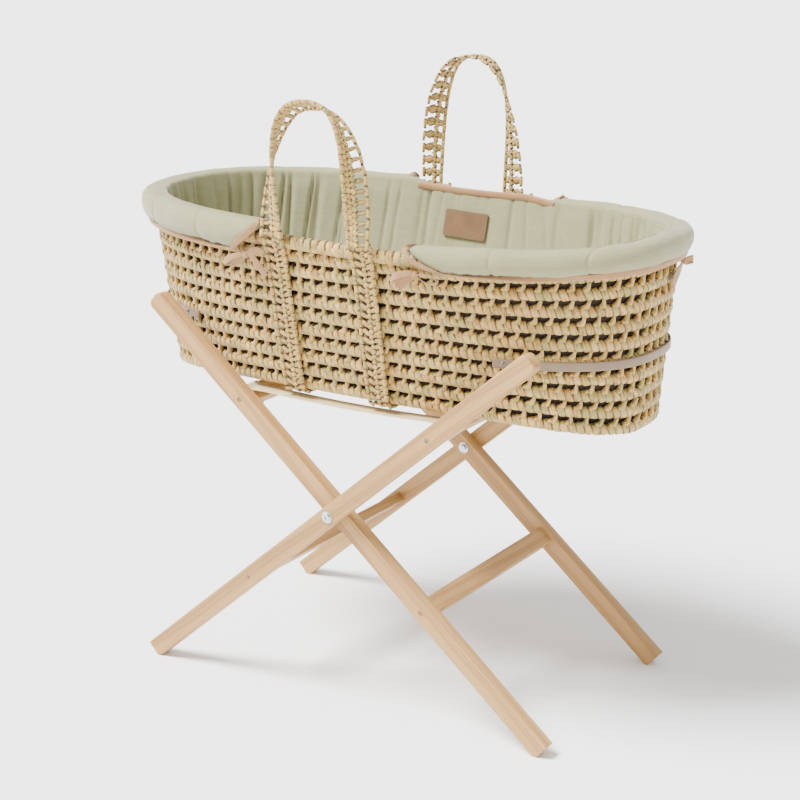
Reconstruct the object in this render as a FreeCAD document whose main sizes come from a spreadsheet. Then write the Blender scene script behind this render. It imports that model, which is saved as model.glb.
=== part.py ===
import FreeCAD, Part

import math
import os

import Sketcher
from FreeCAD import Placement, Rotation, Vector

# A woven moses basket on a folding cross-leg stand. +X runs along the basket towards its foot end,
# +Y towards the back, +Z up. The origin lies on the floor under the middle of the basket.

doc = FreeCAD.newDocument("MosesBasket")
sheet = doc.addObject("Spreadsheet::Sheet", "Sizes")

SIZES = [
    # stand
    ("legAngle", 40.3),
    ("legLower", 439.5),
    ("legUpper", 423),
    ("legWidth", 28),
    ("legThickness", 20),
    ("legGap", 0.8),
    ("standDepth", 412),
    ("footFlatDepth", 3),
    ("tipRadius", 9),
    ("edgeEase", 1.5),
    ("railAlong", 28),
    ("railAcross", 16),
    ("upperRailPlace", 218.8),
    ("lowerRailPlace", 187),
    ("screwRadius", 2),
    ("screwHeadRadius", 4),
    ("screwHeadDepth", 3),
    ("slotLength", 6.4),
    ("slotWidth", 1.2),
    ("screwRecess", 1),
    ("screwLength", 42),
    ("holeClearance", 0.05),
    ("boltRadius", 3),
    ("boltHeadRadius", 6),
    ("boltHeadHeight", 3.2),
    ("boltHeadEase", 1.2),
    ("socketAcross", 4.6),
    ("socketDepth", 1.6),
    ("washerRadius", 8.5),
    ("washerThickness", 1.2),
    ("middleWasherThickness", 0.6),
    ("boltEndPlay", 0.2),
    ("nutAcross", 11.5),
    ("nutHeight", 5),
    # webbing
    ("strapWidth", 30),
    ("strapThickness", 1.2),
    ("strapHeight", 444),
    ("strapMiddle", 149),
    ("strapOffRail", 0.4),
    ("tackRadius", 3.5),
    ("tackHeight", 1.2),
    ("tackGap", 0.05),
    # basket shell
    ("basketBottom", 453.6),
    ("rimHeight", 690),
    ("endRise", 7),
    ("endDroop", 24),
    ("baseHalfLength", 395),
    ("baseHalfWidth", 156),
    ("baseFullness", 2.7),
    ("rimHalfLength", 413),
    ("rimHalfWidth", 213.5),
    ("rimFullness", 2.5),
    ("wallThickness", 16),
    ("floorThickness", 13.6),
    ("rimRollHeight", 20),
    ("rimRollProud", 2),
    ("rollSeam", 0.05),
    ("pieceGap", 0.3),
    ("bandWidth", 36),
    ("bandThickness", 4),
    ("bandTopDrop", 6),
    ("leftBandX", -75),
    ("rightBandX", 69),
    # handles
    ("handleWidth", 36),
    ("handleThickness", 7),
    ("handleFullness", 2.6),
    ("handleTurning", 1.2),
    ("frontHandleTwist", 118),
    ("backHandleTwist", 90),
    ("handleRise", 182),
    ("handleFootHeight", 692.3),
    ("handleHalfSpan", 72),
    ("frontHandleX", -3),
    ("backHandleX", -20),
    ("backHandleRise", 205),
    ("handleOut", 7),
    # liner and mattress
    ("linerThickness", 8),
    ("linerTop", 699),
    ("frontLinerTop", 680),
    ("cuffThickness", 14),
    ("cuffTop", 706),
    ("cuffBottom", 662),
    ("headCuffLow", 150),
    ("headCuffHigh", 97),
    ("headCuffBack", 118),
    ("footCuffLow", 188),
    ("footCuffHigh", 140),
    ("bindingWidth", 8),
    ("bindingThickness", 5),
    ("openingBindingHeight", 4),
    ("trimGap", 1),
    ("bowWidth", 34),
    ("bowDepth", 7),
    ("bowHeight", 13),
    ("headBowX", -123),
    ("footBowX", 155),
    ("endBowY", 68),
    ("bowHeightMiddle", 655),
    ("patchLength", 75),
    ("patchHeight", 40),
    ("patchThickness", 1.5),
    ("patchX", -5),
    ("patchZ", 646),
    ("boardThickness", 3),
    ("linerFloorThickness", 5),
    ("mattressThickness", 34),
    ("coverThickness", 1.2),
    ("coverLooseness", 0.1),
    ("looseFit", 1),
    # bands round the basket's ends
    ("endBandHeight", 541),
    ("endBandWidth", 11),
    ("endBandThickness", 3),
    ("headBandEnd", 262),
    ("footBandEnd", 240),
    ("headStudX", -291),
    ("footStudX", 254),
    ("studRadius", 4),
    ("studHeight", 2.5),
    ("studOffBand", 1.2),
]
for row, (name, amount) in enumerate(SIZES, start=1):
    sheet.set("A%d" % row, name)
    sheet.set("B%d" % row, str(amount))
    sheet.setAlias("B%d" % row, name)
doc.recompute()

nodes = {}
leastCut = 1    # a pocket that takes less than this, in cubic millimetres, has missed the wood


def size(formula):
    # The present value of an alias, or of a formula on the sheet's aliases.
    return float(sheet.evalExpression(formula.replace("Sizes.", "")))


def keep(item, label):
    item.Label = label
    nodes[label] = item
    return item


def bind(item, **formulas):
    for place, formula in formulas.items():
        item.setExpression(place, formula)
    return item


# Helpers for the parts that are bodies with sketches.

alongY = Rotation(Vector(1, 0, 0), -90)
againstY = Rotation(Vector(1, 0, 0), 90)


def originPlane(body, role):
    return next(plane for plane in body.Origin.OriginFeatures if plane.Role == role)


def sideSketch(body, name):
    sketch = body.newObject("Sketcher::SketchObject", name)
    sketch.AttachmentSupport = [(originPlane(body, "XZ_Plane"), "")]
    sketch.MapMode = "FlatFace"
    return sketch


def hold(sketch, constraint, name, formula):
    index = sketch.addConstraint(constraint)
    sketch.renameConstraint(index, name)
    sketch.setExpression("Constraints." + name, formula)


def rectangle(sketch, left, right, below, above):
    # Four formulas: how far each side lies from the sketch's origin.
    x0, x1, y0, y1 = -size(left), size(right), -size(below), size(above)
    corners = [Vector(x0, y0, 0), Vector(x1, y0, 0), Vector(x1, y1, 0), Vector(x0, y1, 0)]
    for i in range(4):
        sketch.addGeometry(Part.LineSegment(corners[i], corners[(i + 1) % 4]))
    for i in range(4):
        sketch.addConstraint(Sketcher.Constraint("Coincident", i, 2, (i + 1) % 4, 1))
    for i in (0, 2):
        sketch.addConstraint(Sketcher.Constraint("Horizontal", i))
        sketch.addConstraint(Sketcher.Constraint("Vertical", i + 1))
    hold(sketch, Sketcher.Constraint("DistanceX", 0, 1, -1, 1, -x0), "leftSide", left)
    hold(sketch, Sketcher.Constraint("DistanceX", -1, 1, 2, 1, x1), "rightSide", right)
    hold(sketch, Sketcher.Constraint("DistanceY", 0, 1, -1, 1, -y0), "lowSide", below)
    hold(sketch, Sketcher.Constraint("DistanceY", -1, 1, 2, 1, y1), "highSide", above)


def holes(sketch, radius, places):
    # Round holes on the sketch's X axis; places are formulas, one with a minus sign lies to the left.
    for i, place in enumerate(places):
        x = size(place)
        sketch.addGeometry(Part.Circle(Vector(x, 0, 0), Vector(0, 0, 1), size(radius)))
        hold(sketch, Sketcher.Constraint("Radius", i, size(radius)), "radius%d" % i, radius)
        if x:
            sketch.addConstraint(Sketcher.Constraint("PointOnObject", i, 3, -1))
        if x > 0:
            hold(sketch, Sketcher.Constraint("DistanceX", -1, 1, i, 3, x), "place%d" % i, place)
        elif x < 0:
            hold(sketch, Sketcher.Constraint("DistanceX", i, 3, -1, 1, -x), "place%d" % i, place.lstrip("-"))
        else:
            sketch.addConstraint(Sketcher.Constraint("Coincident", i, 3, -1, 1))


def edgesAlong(shape, axis, test):
    names = []
    for i, edge in enumerate(shape.Edges, start=1):
        if edge.Curve.TypeId != "Part::GeomLine":
            continue
        run = edge.Vertexes[1].Point - edge.Vertexes[0].Point
        if abs(run.normalize().dot(axis)) > 0.999 and test(edge.CenterOfMass):
            names.append("Edge%d" % i)
    return names


def filleted(body, name, base, edges, radius):
    fillet = body.newObject("PartDesign::Fillet", name)
    fillet.Base = (base, edges)
    bind(fillet, Radius=radius)
    doc.recompute()
    return fillet


# The stand.

angle = math.radians(size("legAngle"))
pivotHeight = (size("legLower") * math.sin(angle) + size("legWidth") / 2 * math.cos(angle)
               - size("footFlatDepth"))
legPitch = size("legThickness + legGap")
leans = {"outer": Rotation(Vector(0, -1, 0), size("legAngle")),
         "inner": Rotation(Vector(0, -1, 0), 180 - size("legAngle"))}
outsides = {"outer": size("standDepth") / 2, "inner": size("standDepth") / 2 - legPitch}
railSpans = {"outer": "Sizes.standDepth - 2 * Sizes.legThickness",
             "inner": "Sizes.standDepth - 4 * Sizes.legThickness - 2 * Sizes.legGap"}
railPlaces = {"upper": size("upperRailPlace"), "lower": -size("lowerRailPlace")}
sides = {"front": -1, "back": 1}


def pointOn(frame, along, y):
    # A point on a leg's centre line, so far along it from the pivot.
    return Vector(0, y, pivotHeight) + leans[frame].multVec(Vector(along, 0, 0))


floorBlock = doc.addObject("Part::Box", "floor_block")
bind(floorBlock, Length="3 * Sizes.legLower", Width="2 * Sizes.standDepth", Height="Sizes.legWidth")
floorBlock.Placement = Placement(Vector(-1.5 * size("legLower"), -size("standDepth"), -size("legWidth")),
                                 Rotation())


def leg(frame, side):
    label = "%s_leg_%s" % (frame, side)
    body = doc.addObject("PartDesign::Body", label + "_blank")
    outline = sideSketch(body, label + "_outline")
    rectangle(outline, "Sizes.legLower", "Sizes.legUpper", "Sizes.legWidth / 2", "Sizes.legWidth / 2")
    pad = body.newObject("PartDesign::Pad", label + "_pad")
    pad.Profile = outline
    bind(pad, Length="Sizes.legThickness")
    pad.Reversed = side == "front"
    doc.recompute()
    ends = edgesAlong(pad.Shape, Vector(0, 1, 0), lambda middle: middle.x > 0)
    rounded = filleted(body, label + "_tip", pad, ends, "Sizes.tipRadius")
    long = edgesAlong(rounded.Shape, Vector(1, 0, 0), lambda middle: True)
    eased = filleted(body, label + "_ease", rounded, long, "Sizes.edgeEase")
    cuts = [("bolt", "Sizes.boltRadius + Sizes.holeClearance", ["0"], "Sizes.legThickness"),
            ("shank", "Sizes.screwRadius + Sizes.holeClearance",
             ["Sizes.upperRailPlace", "-Sizes.lowerRailPlace"], "Sizes.legThickness"),
            ("head", "Sizes.screwHeadRadius + 2 * Sizes.holeClearance",
             ["Sizes.upperRailPlace", "-Sizes.lowerRailPlace"], "Sizes.screwHeadDepth + Sizes.screwRecess")]
    solid = eased
    for name, radius, places, depth in cuts:
        rings = sideSketch(body, "%s_%s_holes" % (label, name))
        holes(rings, radius, places)
        pocket = body.newObject("PartDesign::Pocket", "%s_%s_pocket" % (label, name))
        pocket.Profile = rings
        bind(pocket, Length=depth)
        pocket.Reversed = side == "back"
        doc.recompute()
        if pocket.Shape.Volume > solid.Shape.Volume - leastCut:
            raise RuntimeError("%s cuts nothing" % pocket.Name)
        solid = pocket
    body.Placement = Placement(Vector(0, sides[side] * outsides[frame], pivotHeight), leans[frame])
    trimmed = doc.addObject("Part::Cut", label)
    trimmed.Base = body
    trimmed.Tool = floorBlock
    keep(trimmed, label)


def rail(frame, level):
    label = "%s_%s_rail" % (frame, level)
    body = doc.addObject("PartDesign::Body", label)
    outline = sideSketch(body, label + "_outline")
    rectangle(outline, "Sizes.railAlong / 2", "Sizes.railAlong / 2",
              "Sizes.railAcross / 2", "Sizes.railAcross / 2")
    pad = body.newObject("PartDesign::Pad", label + "_pad")
    pad.Profile = outline
    pad.Midplane = True
    bind(pad, Length=railSpans[frame])
    doc.recompute()
    long = edgesAlong(pad.Shape, Vector(0, 1, 0), lambda middle: True)
    eased = filleted(body, label + "_ease", pad, long, "Sizes.edgeEase")
    ring = sideSketch(body, label + "_pilot")
    holes(ring, "Sizes.screwRadius + Sizes.holeClearance", ["0"])
    pocket = body.newObject("PartDesign::Pocket", label + "_pilot_pocket")
    pocket.Profile = ring
    pocket.Midplane = True
    bind(pocket, Length=railSpans[frame])
    doc.recompute()
    if pocket.Shape.Volume > eased.Shape.Volume - leastCut:
        raise RuntimeError("%s cuts nothing" % pocket.Name)
    body.Placement = Placement(pointOn(frame, railPlaces[level], 0), leans[frame])
    keep(body, label)


def cylinder(name, radius, height):
    return bind(doc.addObject("Part::Cylinder", name), Radius=radius, Height=height)


def union(name, pieces):
    item = doc.addObject("Part::MultiFuse", name)
    item.Shapes = pieces
    return item


def difference(name, base, tool):
    item = doc.addObject("Part::Cut", name)
    item.Base = base
    item.Tool = tool
    return item


def group(label, pieces):
    item = doc.addObject("Part::Compound", label)
    item.Links = pieces
    return keep(item, label)


def facing(side):
    # Turns a piece that is built along +Z so that it points from that face into the wood.
    return alongY if side == "front" else againstY


def screw(name, frame, level, side):
    head = cylinder(name + "_head", "Sizes.screwHeadRadius", "Sizes.screwHeadDepth")
    shank = cylinder(name + "_shank", "Sizes.screwRadius", "Sizes.screwLength")
    slot = bind(doc.addObject("Part::Box", name + "_slot"), Length="Sizes.slotLength",
                Width="Sizes.slotWidth", Height="Sizes.screwHeadDepth / 2")
    slot.Placement.Base = Vector(-size("slotLength / 2"), -size("slotWidth / 2"), 0)
    item = difference(name, union(name + "_blank", [head, shank]), slot)
    y = sides[side] * (outsides[frame] - size("screwRecess"))
    item.Placement = Placement(pointOn(frame, railPlaces[level], y), leans[frame] * facing(side))
    return item


def washer(name, y, side, thickness):
    item = difference(name, cylinder(name + "_disc", "Sizes.washerRadius", thickness),
                      cylinder(name + "_hole", "Sizes.boltRadius + Sizes.holeClearance", thickness))
    item.Placement = Placement(Vector(0, y, pivotHeight), facing(side))
    return item


def pivot(side):
    toMiddle = -sides[side]
    outside = sides[side] * outsides["outer"]
    label = side + "_pivot"
    grip = ("2 * Sizes.legThickness + Sizes.legGap + 2 * Sizes.washerThickness + Sizes.boltEndPlay"
            " + Sizes.nutHeight")
    shank = cylinder(label + "_shank", "Sizes.boltRadius", grip)
    disc = cylinder(label + "_disc", "Sizes.boltHeadRadius", "Sizes.boltHeadHeight")
    disc.Placement.Base = Vector(0, 0, -size("boltHeadHeight"))
    doc.recompute()
    head = doc.addObject("Part::Fillet", label + "_head")
    head.Base = disc
    rim = [i for i, edge in enumerate(disc.Shape.Edges, start=1)
           if edge.CenterOfMass.z < -size("boltHeadHeight - boltHeadEase")]
    head.Edges = [(i, size("boltHeadEase"), size("boltHeadEase")) for i in rim]
    socket = doc.addObject("Part::Prism", label + "_socket")
    bind(socket, Circumradius="Sizes.socketAcross / 2", Height="Sizes.socketDepth")
    socket.Placement.Base = Vector(0, 0, -size("boltHeadHeight"))
    bolt = difference(label + "_bolt", union(label + "_bolt_blank", [head, shank]), socket)
    top = outside - toMiddle * size("washerThickness")
    bolt.Placement = Placement(Vector(0, top, pivotHeight), facing(side))
    keep(bolt, label + "_bolt")
    inside = outside + toMiddle * size("2 * legThickness + legGap + boltEndPlay")
    between = outside + toMiddle * size("legThickness")
    group(label + "_washers", [
        washer(label + "_outside_washer", top, side, "Sizes.washerThickness"),
        washer(label + "_middle_washer", between, side, "Sizes.middleWasherThickness"),
        washer(label + "_inside_washer", inside, side, "Sizes.washerThickness")])
    hexagon = bind(doc.addObject("Part::Prism", label + "_nut_blank"),
                   Circumradius="Sizes.nutAcross / 2", Height="Sizes.nutHeight")
    bore = cylinder(label + "_nut_bore", "Sizes.boltRadius + Sizes.holeClearance", "Sizes.nutHeight")
    nut = difference(label + "_nut", hexagon, bore)
    seat = inside + toMiddle * size("washerThickness")
    nut.Placement = Placement(Vector(0, seat, pivotHeight), facing(side))
    keep(nut, label + "_nut")


for frame in ("outer", "inner"):
    for side in ("front", "back"):
        leg(frame, side)
    for level in ("upper", "lower"):
        rail(frame, level)
    group(frame + "_rail_screws", [screw("%s_%s_screw_%s" % (frame, level, side), frame, level, side)
                                   for level in ("upper", "lower") for side in ("front", "back")])
for side in ("front", "back"):
    pivot(side)


# Helpers for the shapes that are worked out from the sheet's sizes.

def solidNode(label, shape):
    item = doc.addObject("Part::Feature", label)
    item.Shape = shape
    item.Placement = Placement()
    return keep(item, label)


def thickLine(points, thickness):
    # A closed outline of even thickness round an open run of points in the XZ plane.
    def shifted(offset):
        moved = []
        for i, point in enumerate(points):
            before = (point - points[i - 1]).normalize() if i else (points[1] - point).normalize()
            after = (points[i + 1] - point).normalize() if i + 1 < len(points) else before
            normal = Vector(-before.z - after.z, 0, before.x + after.x).normalize()
            spread = normal.dot(Vector(-before.z, 0, before.x))
            moved.append(point + normal * (offset / spread))
        return moved
    return shifted(thickness / 2) + shifted(-thickness / 2)[::-1]


def extruded(points, y0, y1):
    face = Part.Face(Part.makePolygon(points + [points[0]]))
    face.translate(Vector(0, y0, 0))
    return face.extrude(Vector(0, y1 - y0, 0))


def webbing(side):
    # A flat strap from rail to rail, turned down round the outer side of each rail.
    off = size("strapOffRail + strapThickness / 2")
    halfAlong = size("railAlong / 2") + off
    halfAcross = size("railAcross / 2") + off
    height = size("strapHeight + strapThickness / 2")
    rail = pointOn("outer", railPlaces["upper"], 0)
    under, corner, top = [rail + leans["outer"].multVec(Vector(along, 0, across))
                          for along, across in ((-halfAlong, -halfAcross), (halfAlong, -halfAcross),
                                                (halfAlong, halfAcross))]
    downRail = leans["outer"].multVec(Vector(-1, 0, 0))
    meet = top + downRail * ((top.z - height) / math.sin(angle))
    half = [meet, top, corner, under]
    points = [Vector(-p.x, 0, p.z) for p in half[::-1]] + half
    low = sides[side] * size("strapMiddle") - size("strapWidth / 2")
    solidNode("webbing_strap_" + side, extruded(thickLine(points, size("strapThickness")),
                                                low, low + size("strapWidth")))


def tacks(frame):
    # One under each end of a strap, on the underside of the rail that it is wrapped round.
    off = size("railAcross / 2 + strapOffRail + strapThickness + tackGap")
    down = leans[frame].multVec(Vector(0, 0, 1 if frame == "inner" else -1))
    made = []
    for side in ("front", "back"):
        start = pointOn(frame, railPlaces["upper"], sides[side] * size("strapMiddle"))
        made.append(Part.makeCylinder(size("tackRadius"), size("tackHeight"), start + down * off, down))
    solidNode(frame + "_strap_tacks", Part.makeCompound(made))


for side in ("front", "back"):
    webbing(side)
for frame in ("outer", "inner"):
    tacks(frame)


# The basket.

farOut = 2 * size("rimHalfWidth")
pastEnd = 1.2 * size("rimHalfLength")
lowest = size("basketBottom - 3 * endDroop")
highest = size("cuffTop + 2 * bindingWidth")
ovalPoints = 48


def mix(low, high, share):
    return size(low) + (size(high) - size(low)) * share


def ovalAt(height, out):
    # Half length, half width and fullness of the oval plan at a height, moved outwards by out.
    share = (height - size("basketBottom")) / size("rimHeight - basketBottom")
    return (mix("baseHalfLength", "rimHalfLength", share) + out,
            mix("baseHalfWidth", "rimHalfWidth", share) + out,
            mix("baseFullness", "rimFullness", share))


def ovalWire(height, out):
    halfLength, halfWidth, fullness = ovalAt(height, out)
    points = []
    for i in range(ovalPoints):
        turn = 2 * math.pi * i / ovalPoints
        c, s = math.cos(turn), math.sin(turn)
        points.append(Vector(math.copysign(halfLength * abs(c) ** (2 / fullness), c),
                             math.copysign(halfWidth * abs(s) ** (2 / fullness), s), height))
    curve = Part.BSplineCurve()
    curve.interpolate(points, PeriodicFlag=True)
    return Part.Wire([curve.toShape()])


def ovalSolid(out, low, high):
    # Every such solid is a slice of the same tall form, so that two with different offsets never cross.
    form = Part.makeLoft([ovalWire(lowest, out), ovalWire(highest, out)], True, True)
    return form.common(block(-pastEnd, pastEnd, -farOut, farOut, low, high))


def curveAcross(heightAt):
    count = 12
    points = [Vector(x, -farOut, heightAt(x))
              for x in (pastEnd * (2 * i / count - 1) for i in range(count + 1))]
    curve = Part.BSplineCurve()
    curve.interpolate(points)
    return curve.toShape()


def sag(shift):
    # The underside: level in the middle, drooping towards both ends.
    bottom, droop, reach = size("basketBottom"), size("endDroop"), size("baseHalfLength")
    return lambda x: bottom - droop * abs(x / reach) ** 3 + shift


def brim(shift):
    # The top edge: level in the middle, rising a little towards both ends.
    top, rise, reach = size("rimHeight"), size("endRise"), size("rimHalfLength")
    return lambda x: top + rise * (x / reach) ** 2 + shift


def between(lower, upper):
    # Everything between two such curves, for the whole width of the basket.
    low, high = curveAcross(lower), curveAcross(upper)
    ends = [Part.makeLine(low.Vertexes[i].Point, high.Vertexes[i].Point) for i in (0, 1)]
    face = Part.Face(Part.Wire([low, ends[1], high, ends[0]]))
    return face.extrude(Vector(0, 2 * farOut, 0))


def block(x0, x1, y0, y1, z0, z1):
    return Part.makeBox(x1 - x0, y1 - y0, z1 - z0, Vector(x0, y0, z0))


wall = size("wallThickness")
gap = size("pieceGap")
rimOut = size("rimRollProud")
floorTop = size("basketBottom + floorThickness")
inside = -wall - gap
linerInside = inside - size("linerThickness")
outerForm = ovalSolid(0, lowest, highest)
cavity = ovalSolid(-wall, floorTop, highest)
rollJoint = -size("rimRollHeight")

shell = outerForm.common(between(sag(0), brim(rollJoint))).cut(cavity)
solidNode("woven_shell", shell)
roll = ovalSolid(rimOut, lowest, highest).common(between(brim(rollJoint + size("rollSeam")), brim(0)))
solidNode("rim_roll", roll.cut(cavity))


def carryBand(label, middle):
    out = rimOut + gap
    thick = size("bandThickness")
    skin = ovalSolid(out + thick, lowest, highest)
    skin = skin.common(between(sag(-gap - thick), brim(-size("bandTopDrop"))))
    core = ovalSolid(out, lowest, highest).common(between(sag(-gap), brim(wall)))
    half = size("bandWidth / 2")
    strip = block(middle - half, middle + half, -farOut, farOut, lowest, highest)
    solidNode(label, skin.cut(core).common(strip))


carryBand("left_carry_band", size("leftBandX"))
carryBand("right_carry_band", size("rightBandX"))


def handle(side, middle, rise, turned):
    # A flat band that twists, rising from each foot, until it has turned that far at the top of its arch.
    y = sides[side] * size("rimHalfWidth + handleOut")
    foot = size("handleFootHeight")
    span, fullness = size("handleHalfSpan"), size("handleFullness")
    halfWidth, halfThick = size("handleWidth / 2"), size("handleThickness / 2")
    steps = 16
    sections = []
    for i in range(steps + 1):
        turn = math.pi * i / steps
        c, s = -math.cos(turn), max(math.sin(turn), 0)
        x = math.copysign(abs(c) ** (2 / fullness), c) * span
        z = s ** (2 / fullness) * (rise - halfThick)
        outward = Vector(math.copysign(abs(x / span) ** (fullness - 1) / span, c), 0,
                         (z / rise) ** (fullness - 1) / rise).normalize()
        twist = math.radians(turned) * (z / rise) ** size("handleTurning")
        across = outward * math.cos(twist) - Vector(0, sides[side], 0) * math.sin(twist)
        run = Vector(outward.z, 0, -outward.x)
        through = run.cross(across)
        centre = Vector(middle + x, y, foot + z)
        corners = [centre + across * (halfWidth * a) + through * (halfThick * t)
                   for a, t in ((-1, -1), (1, -1), (1, 1), (-1, 1))]
        sections.append(Part.makePolygon(corners + [corners[0]]))
    solidNode(side + "_handle", Part.makeLoft(sections, True, True))


handle("front", size("frontHandleX"), size("handleRise"), size("frontHandleTwist"))
handle("back", size("backHandleX"), size("backHandleRise"), size("backHandleTwist"))


# The liner, the mattress and the trim.

def ring(out, thick, low, high):
    return ovalSolid(out + thick, low, high).cut(ovalSolid(out, lowest, highest))


def flatPad(out, low, thick):
    return ovalSolid(out, low, low + thick)


boardLow = floorTop + gap
linerFloorLow = boardLow + size("boardThickness") + gap
mattressLow = linerFloorLow + size("linerFloorThickness") + gap
cover = size("coverThickness")
loose = size("looseFit")
solidNode("base_board", flatPad(inside - loose, boardLow, size("boardThickness")))
solidNode("liner_floor", flatPad(inside - loose, linerFloorLow, size("linerFloorThickness")))
mattressOut = linerInside - loose
mattress = flatPad(mattressOut, mattressLow, size("mattressThickness"))
hollow = flatPad(mattressOut - cover, mattressLow + cover, size("mattressThickness - 2 * coverThickness"))
solidNode("mattress_cover", mattress.cut(hollow))
coreOff = cover + size("coverLooseness")
solidNode("mattress_core", flatPad(mattressOut - coreOff, mattressLow + coreOff,
                                   size("mattressThickness") - 2 * coreOff))
# in front the liner's edge lies lower between the two cuffs, behind the rim
frontOpening = block(-size("headCuffHigh"), size("footCuffHigh"), -farOut, 0, size("frontLinerTop"), highest)
lining = ring(linerInside, size("linerThickness"), mattressLow, size("linerTop"))
solidNode("liner_wall", lining.cut(frontOpening))


def endPiece(shape, end, lowX, highX, height):
    # Keeps the part beyond a slanting line that starts at lowX and reaches highX near the rim.
    sign = -1 if end == "head" else 1
    low, high = lowest, highest + wall
    line = [Vector(sign * 2 * pastEnd, 0, low), Vector(sign * lowX, 0, low),
            Vector(sign * lowX, 0, height), Vector(sign * highX, 0, size("linerTop")),
            Vector(sign * highX, 0, high), Vector(sign * 2 * pastEnd, 0, high)]
    return shape.common(extruded(line, -farOut, farOut))


def cuff(end):
    out = rimOut + gap + size("cuffThickness")
    bottom, top = size("cuffBottom"), size("cuffTop")
    whole = ovalSolid(out, bottom, top).cut(ovalSolid(linerInside, lowest, highest))
    covered = ovalSolid(rimOut + gap, lowest, highest).common(between(sag(0), brim(gap)))
    lining = ovalSolid(inside + gap, lowest, size("linerTop") + gap)
    whole = whole.cut(covered).cut(lining)
    whole = endPiece(whole, end, size(end + "CuffLow"), size(end + "CuffHigh"), bottom)
    # the back handle stands further towards the head, so the cuff stops short of its foot
    solidNode(end + "_cuff", whole.cut(block(-size("headCuffBack"), 0, 0, farOut, lowest, highest)))
    edge = ring(rimOut + gap, size("bindingThickness"), bottom - gap - size("bindingWidth"), bottom - gap)
    lowX = size(end + "CuffLow")
    solidNode(end + "_cuff_binding", endPiece(edge, end, lowX, lowX, bottom))


for end in ("head", "foot"):
    cuff(end)


def openingBinding(side):
    # The bound edge of the liner between the two cuffs.
    low = size("frontLinerTop" if side == "front" else "linerTop") + gap
    edge = ring(linerInside, size("linerThickness"), low, low + size("openingBindingHeight"))
    nearer = sorted((0, sides[side] * farOut))
    start = -size("headCuffBack" if side == "back" else "headCuffHigh")
    trim = size("trimGap")
    part = block(start + trim, size("footCuffHigh") - trim, nearer[0], nearer[1], lowest, highest)
    solidNode(side + "_opening_binding", edge.common(part))


for side in ("front", "back"):
    openingBinding(side)


def wallPlace(x, side, height, out):
    # The point of the oval at x, and the level direction straight out of the wall there.
    halfLength, halfWidth, fullness = ovalAt(height, out)
    y = side * halfWidth * (1 - abs(x / halfLength) ** fullness) ** (1 / fullness)
    outward = Vector(math.copysign(abs(x / halfLength) ** (fullness - 1) / halfLength, x),
                     math.copysign(abs(y / halfWidth) ** (fullness - 1) / halfWidth, y), 0)
    return Vector(x, y, height), outward.normalize()


def bow(label, x, side):
    out = rimOut + 2 * gap + size("bindingThickness + trimGap")
    place, outward = wallPlace(x, side, size("bowHeightMiddle"), out)
    turn = Rotation(Vector(0, -1, 0), outward)
    item = bind(doc.addObject("Part::Box", label), Length="Sizes.bowWidth", Width="Sizes.bowDepth",
                Height="Sizes.bowHeight")
    corner = turn.multVec(Vector(-size("bowWidth / 2"), -size("bowDepth"), -size("bowHeight / 2")))
    item.Placement = Placement(place + corner, turn)
    keep(item, label)


bow("front_head_bow", size("headBowX"), -1)
bow("front_foot_bow", size("footBowX"), -1)
bow("back_head_bow", size("headBowX"), 1)
bow("back_foot_bow", size("footBowX"), 1)
bindingOut = rimOut + gap + size("bindingThickness")
endHalfLength, endHalfWidth, endFullness = ovalAt(size("bowHeightMiddle"), bindingOut)
endBowX = endHalfLength * (1 - (size("endBowY") / endHalfWidth) ** endFullness) ** (1 / endFullness)
bow("foot_end_bow", endBowX, 1)

patchRing = ring(linerInside - gap - size("patchThickness"), size("patchThickness"),
                 size("patchZ - patchHeight / 2"), size("patchZ + patchHeight / 2"))
patchHalf = size("patchLength / 2")
solidNode("liner_patch", patchRing.common(block(size("patchX") - patchHalf, size("patchX") + patchHalf,
                                                0, farOut, lowest, highest)))


def endBand(end):
    low = size("endBandHeight - endBandWidth / 2")
    band = ring(gap, size("endBandThickness"), low, low + size("endBandWidth"))
    start = size(end + "BandEnd")
    solidNode(end + "_end_band", endPiece(band, end, start, start, size("cuffBottom")))
    studs = []
    for side in (-1, 1):
        place, outward = wallPlace(size(end + "StudX"), side, size("endBandHeight"),
                                   gap + size("endBandThickness + studOffBand"))
        studs.append(Part.makeCylinder(size("studRadius"), size("studHeight"), place, outward))
    solidNode(end + "_band_studs", Part.makeCompound(studs))


for end in ("head", "foot"):
    endBand(end)

doc.recompute()

# Every object and shape is checked before anything is written.

for item in doc.Objects:
    if "Invalid" in item.State or "Error" in item.State:
        raise RuntimeError("%s failed: %s" % (item.Name, item.State))
os.makedirs("parts", exist_ok=True)
for label, item in nodes.items():
    shape = item.Shape
    if shape.isNull() or not shape.isValid() or not shape.Solids:
        raise RuntimeError("%s has no sound solid" % label)
    shape.exportStep("parts/%s.step" % label)
    box = shape.BoundBox
    print("%-26s solids %2d  x %7.1f %7.1f  y %7.1f %7.1f  z %6.1f %6.1f  %9.0f mm3" % (
        label, len(shape.Solids), box.XMin, box.XMax, box.YMin, box.YMax, box.ZMin, box.ZMax, shape.Volume))
print("%d nodes written" % len(nodes))
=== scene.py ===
import math
import random

import bpy
import bmesh
from mathutils import Matrix, Vector, noise


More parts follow.
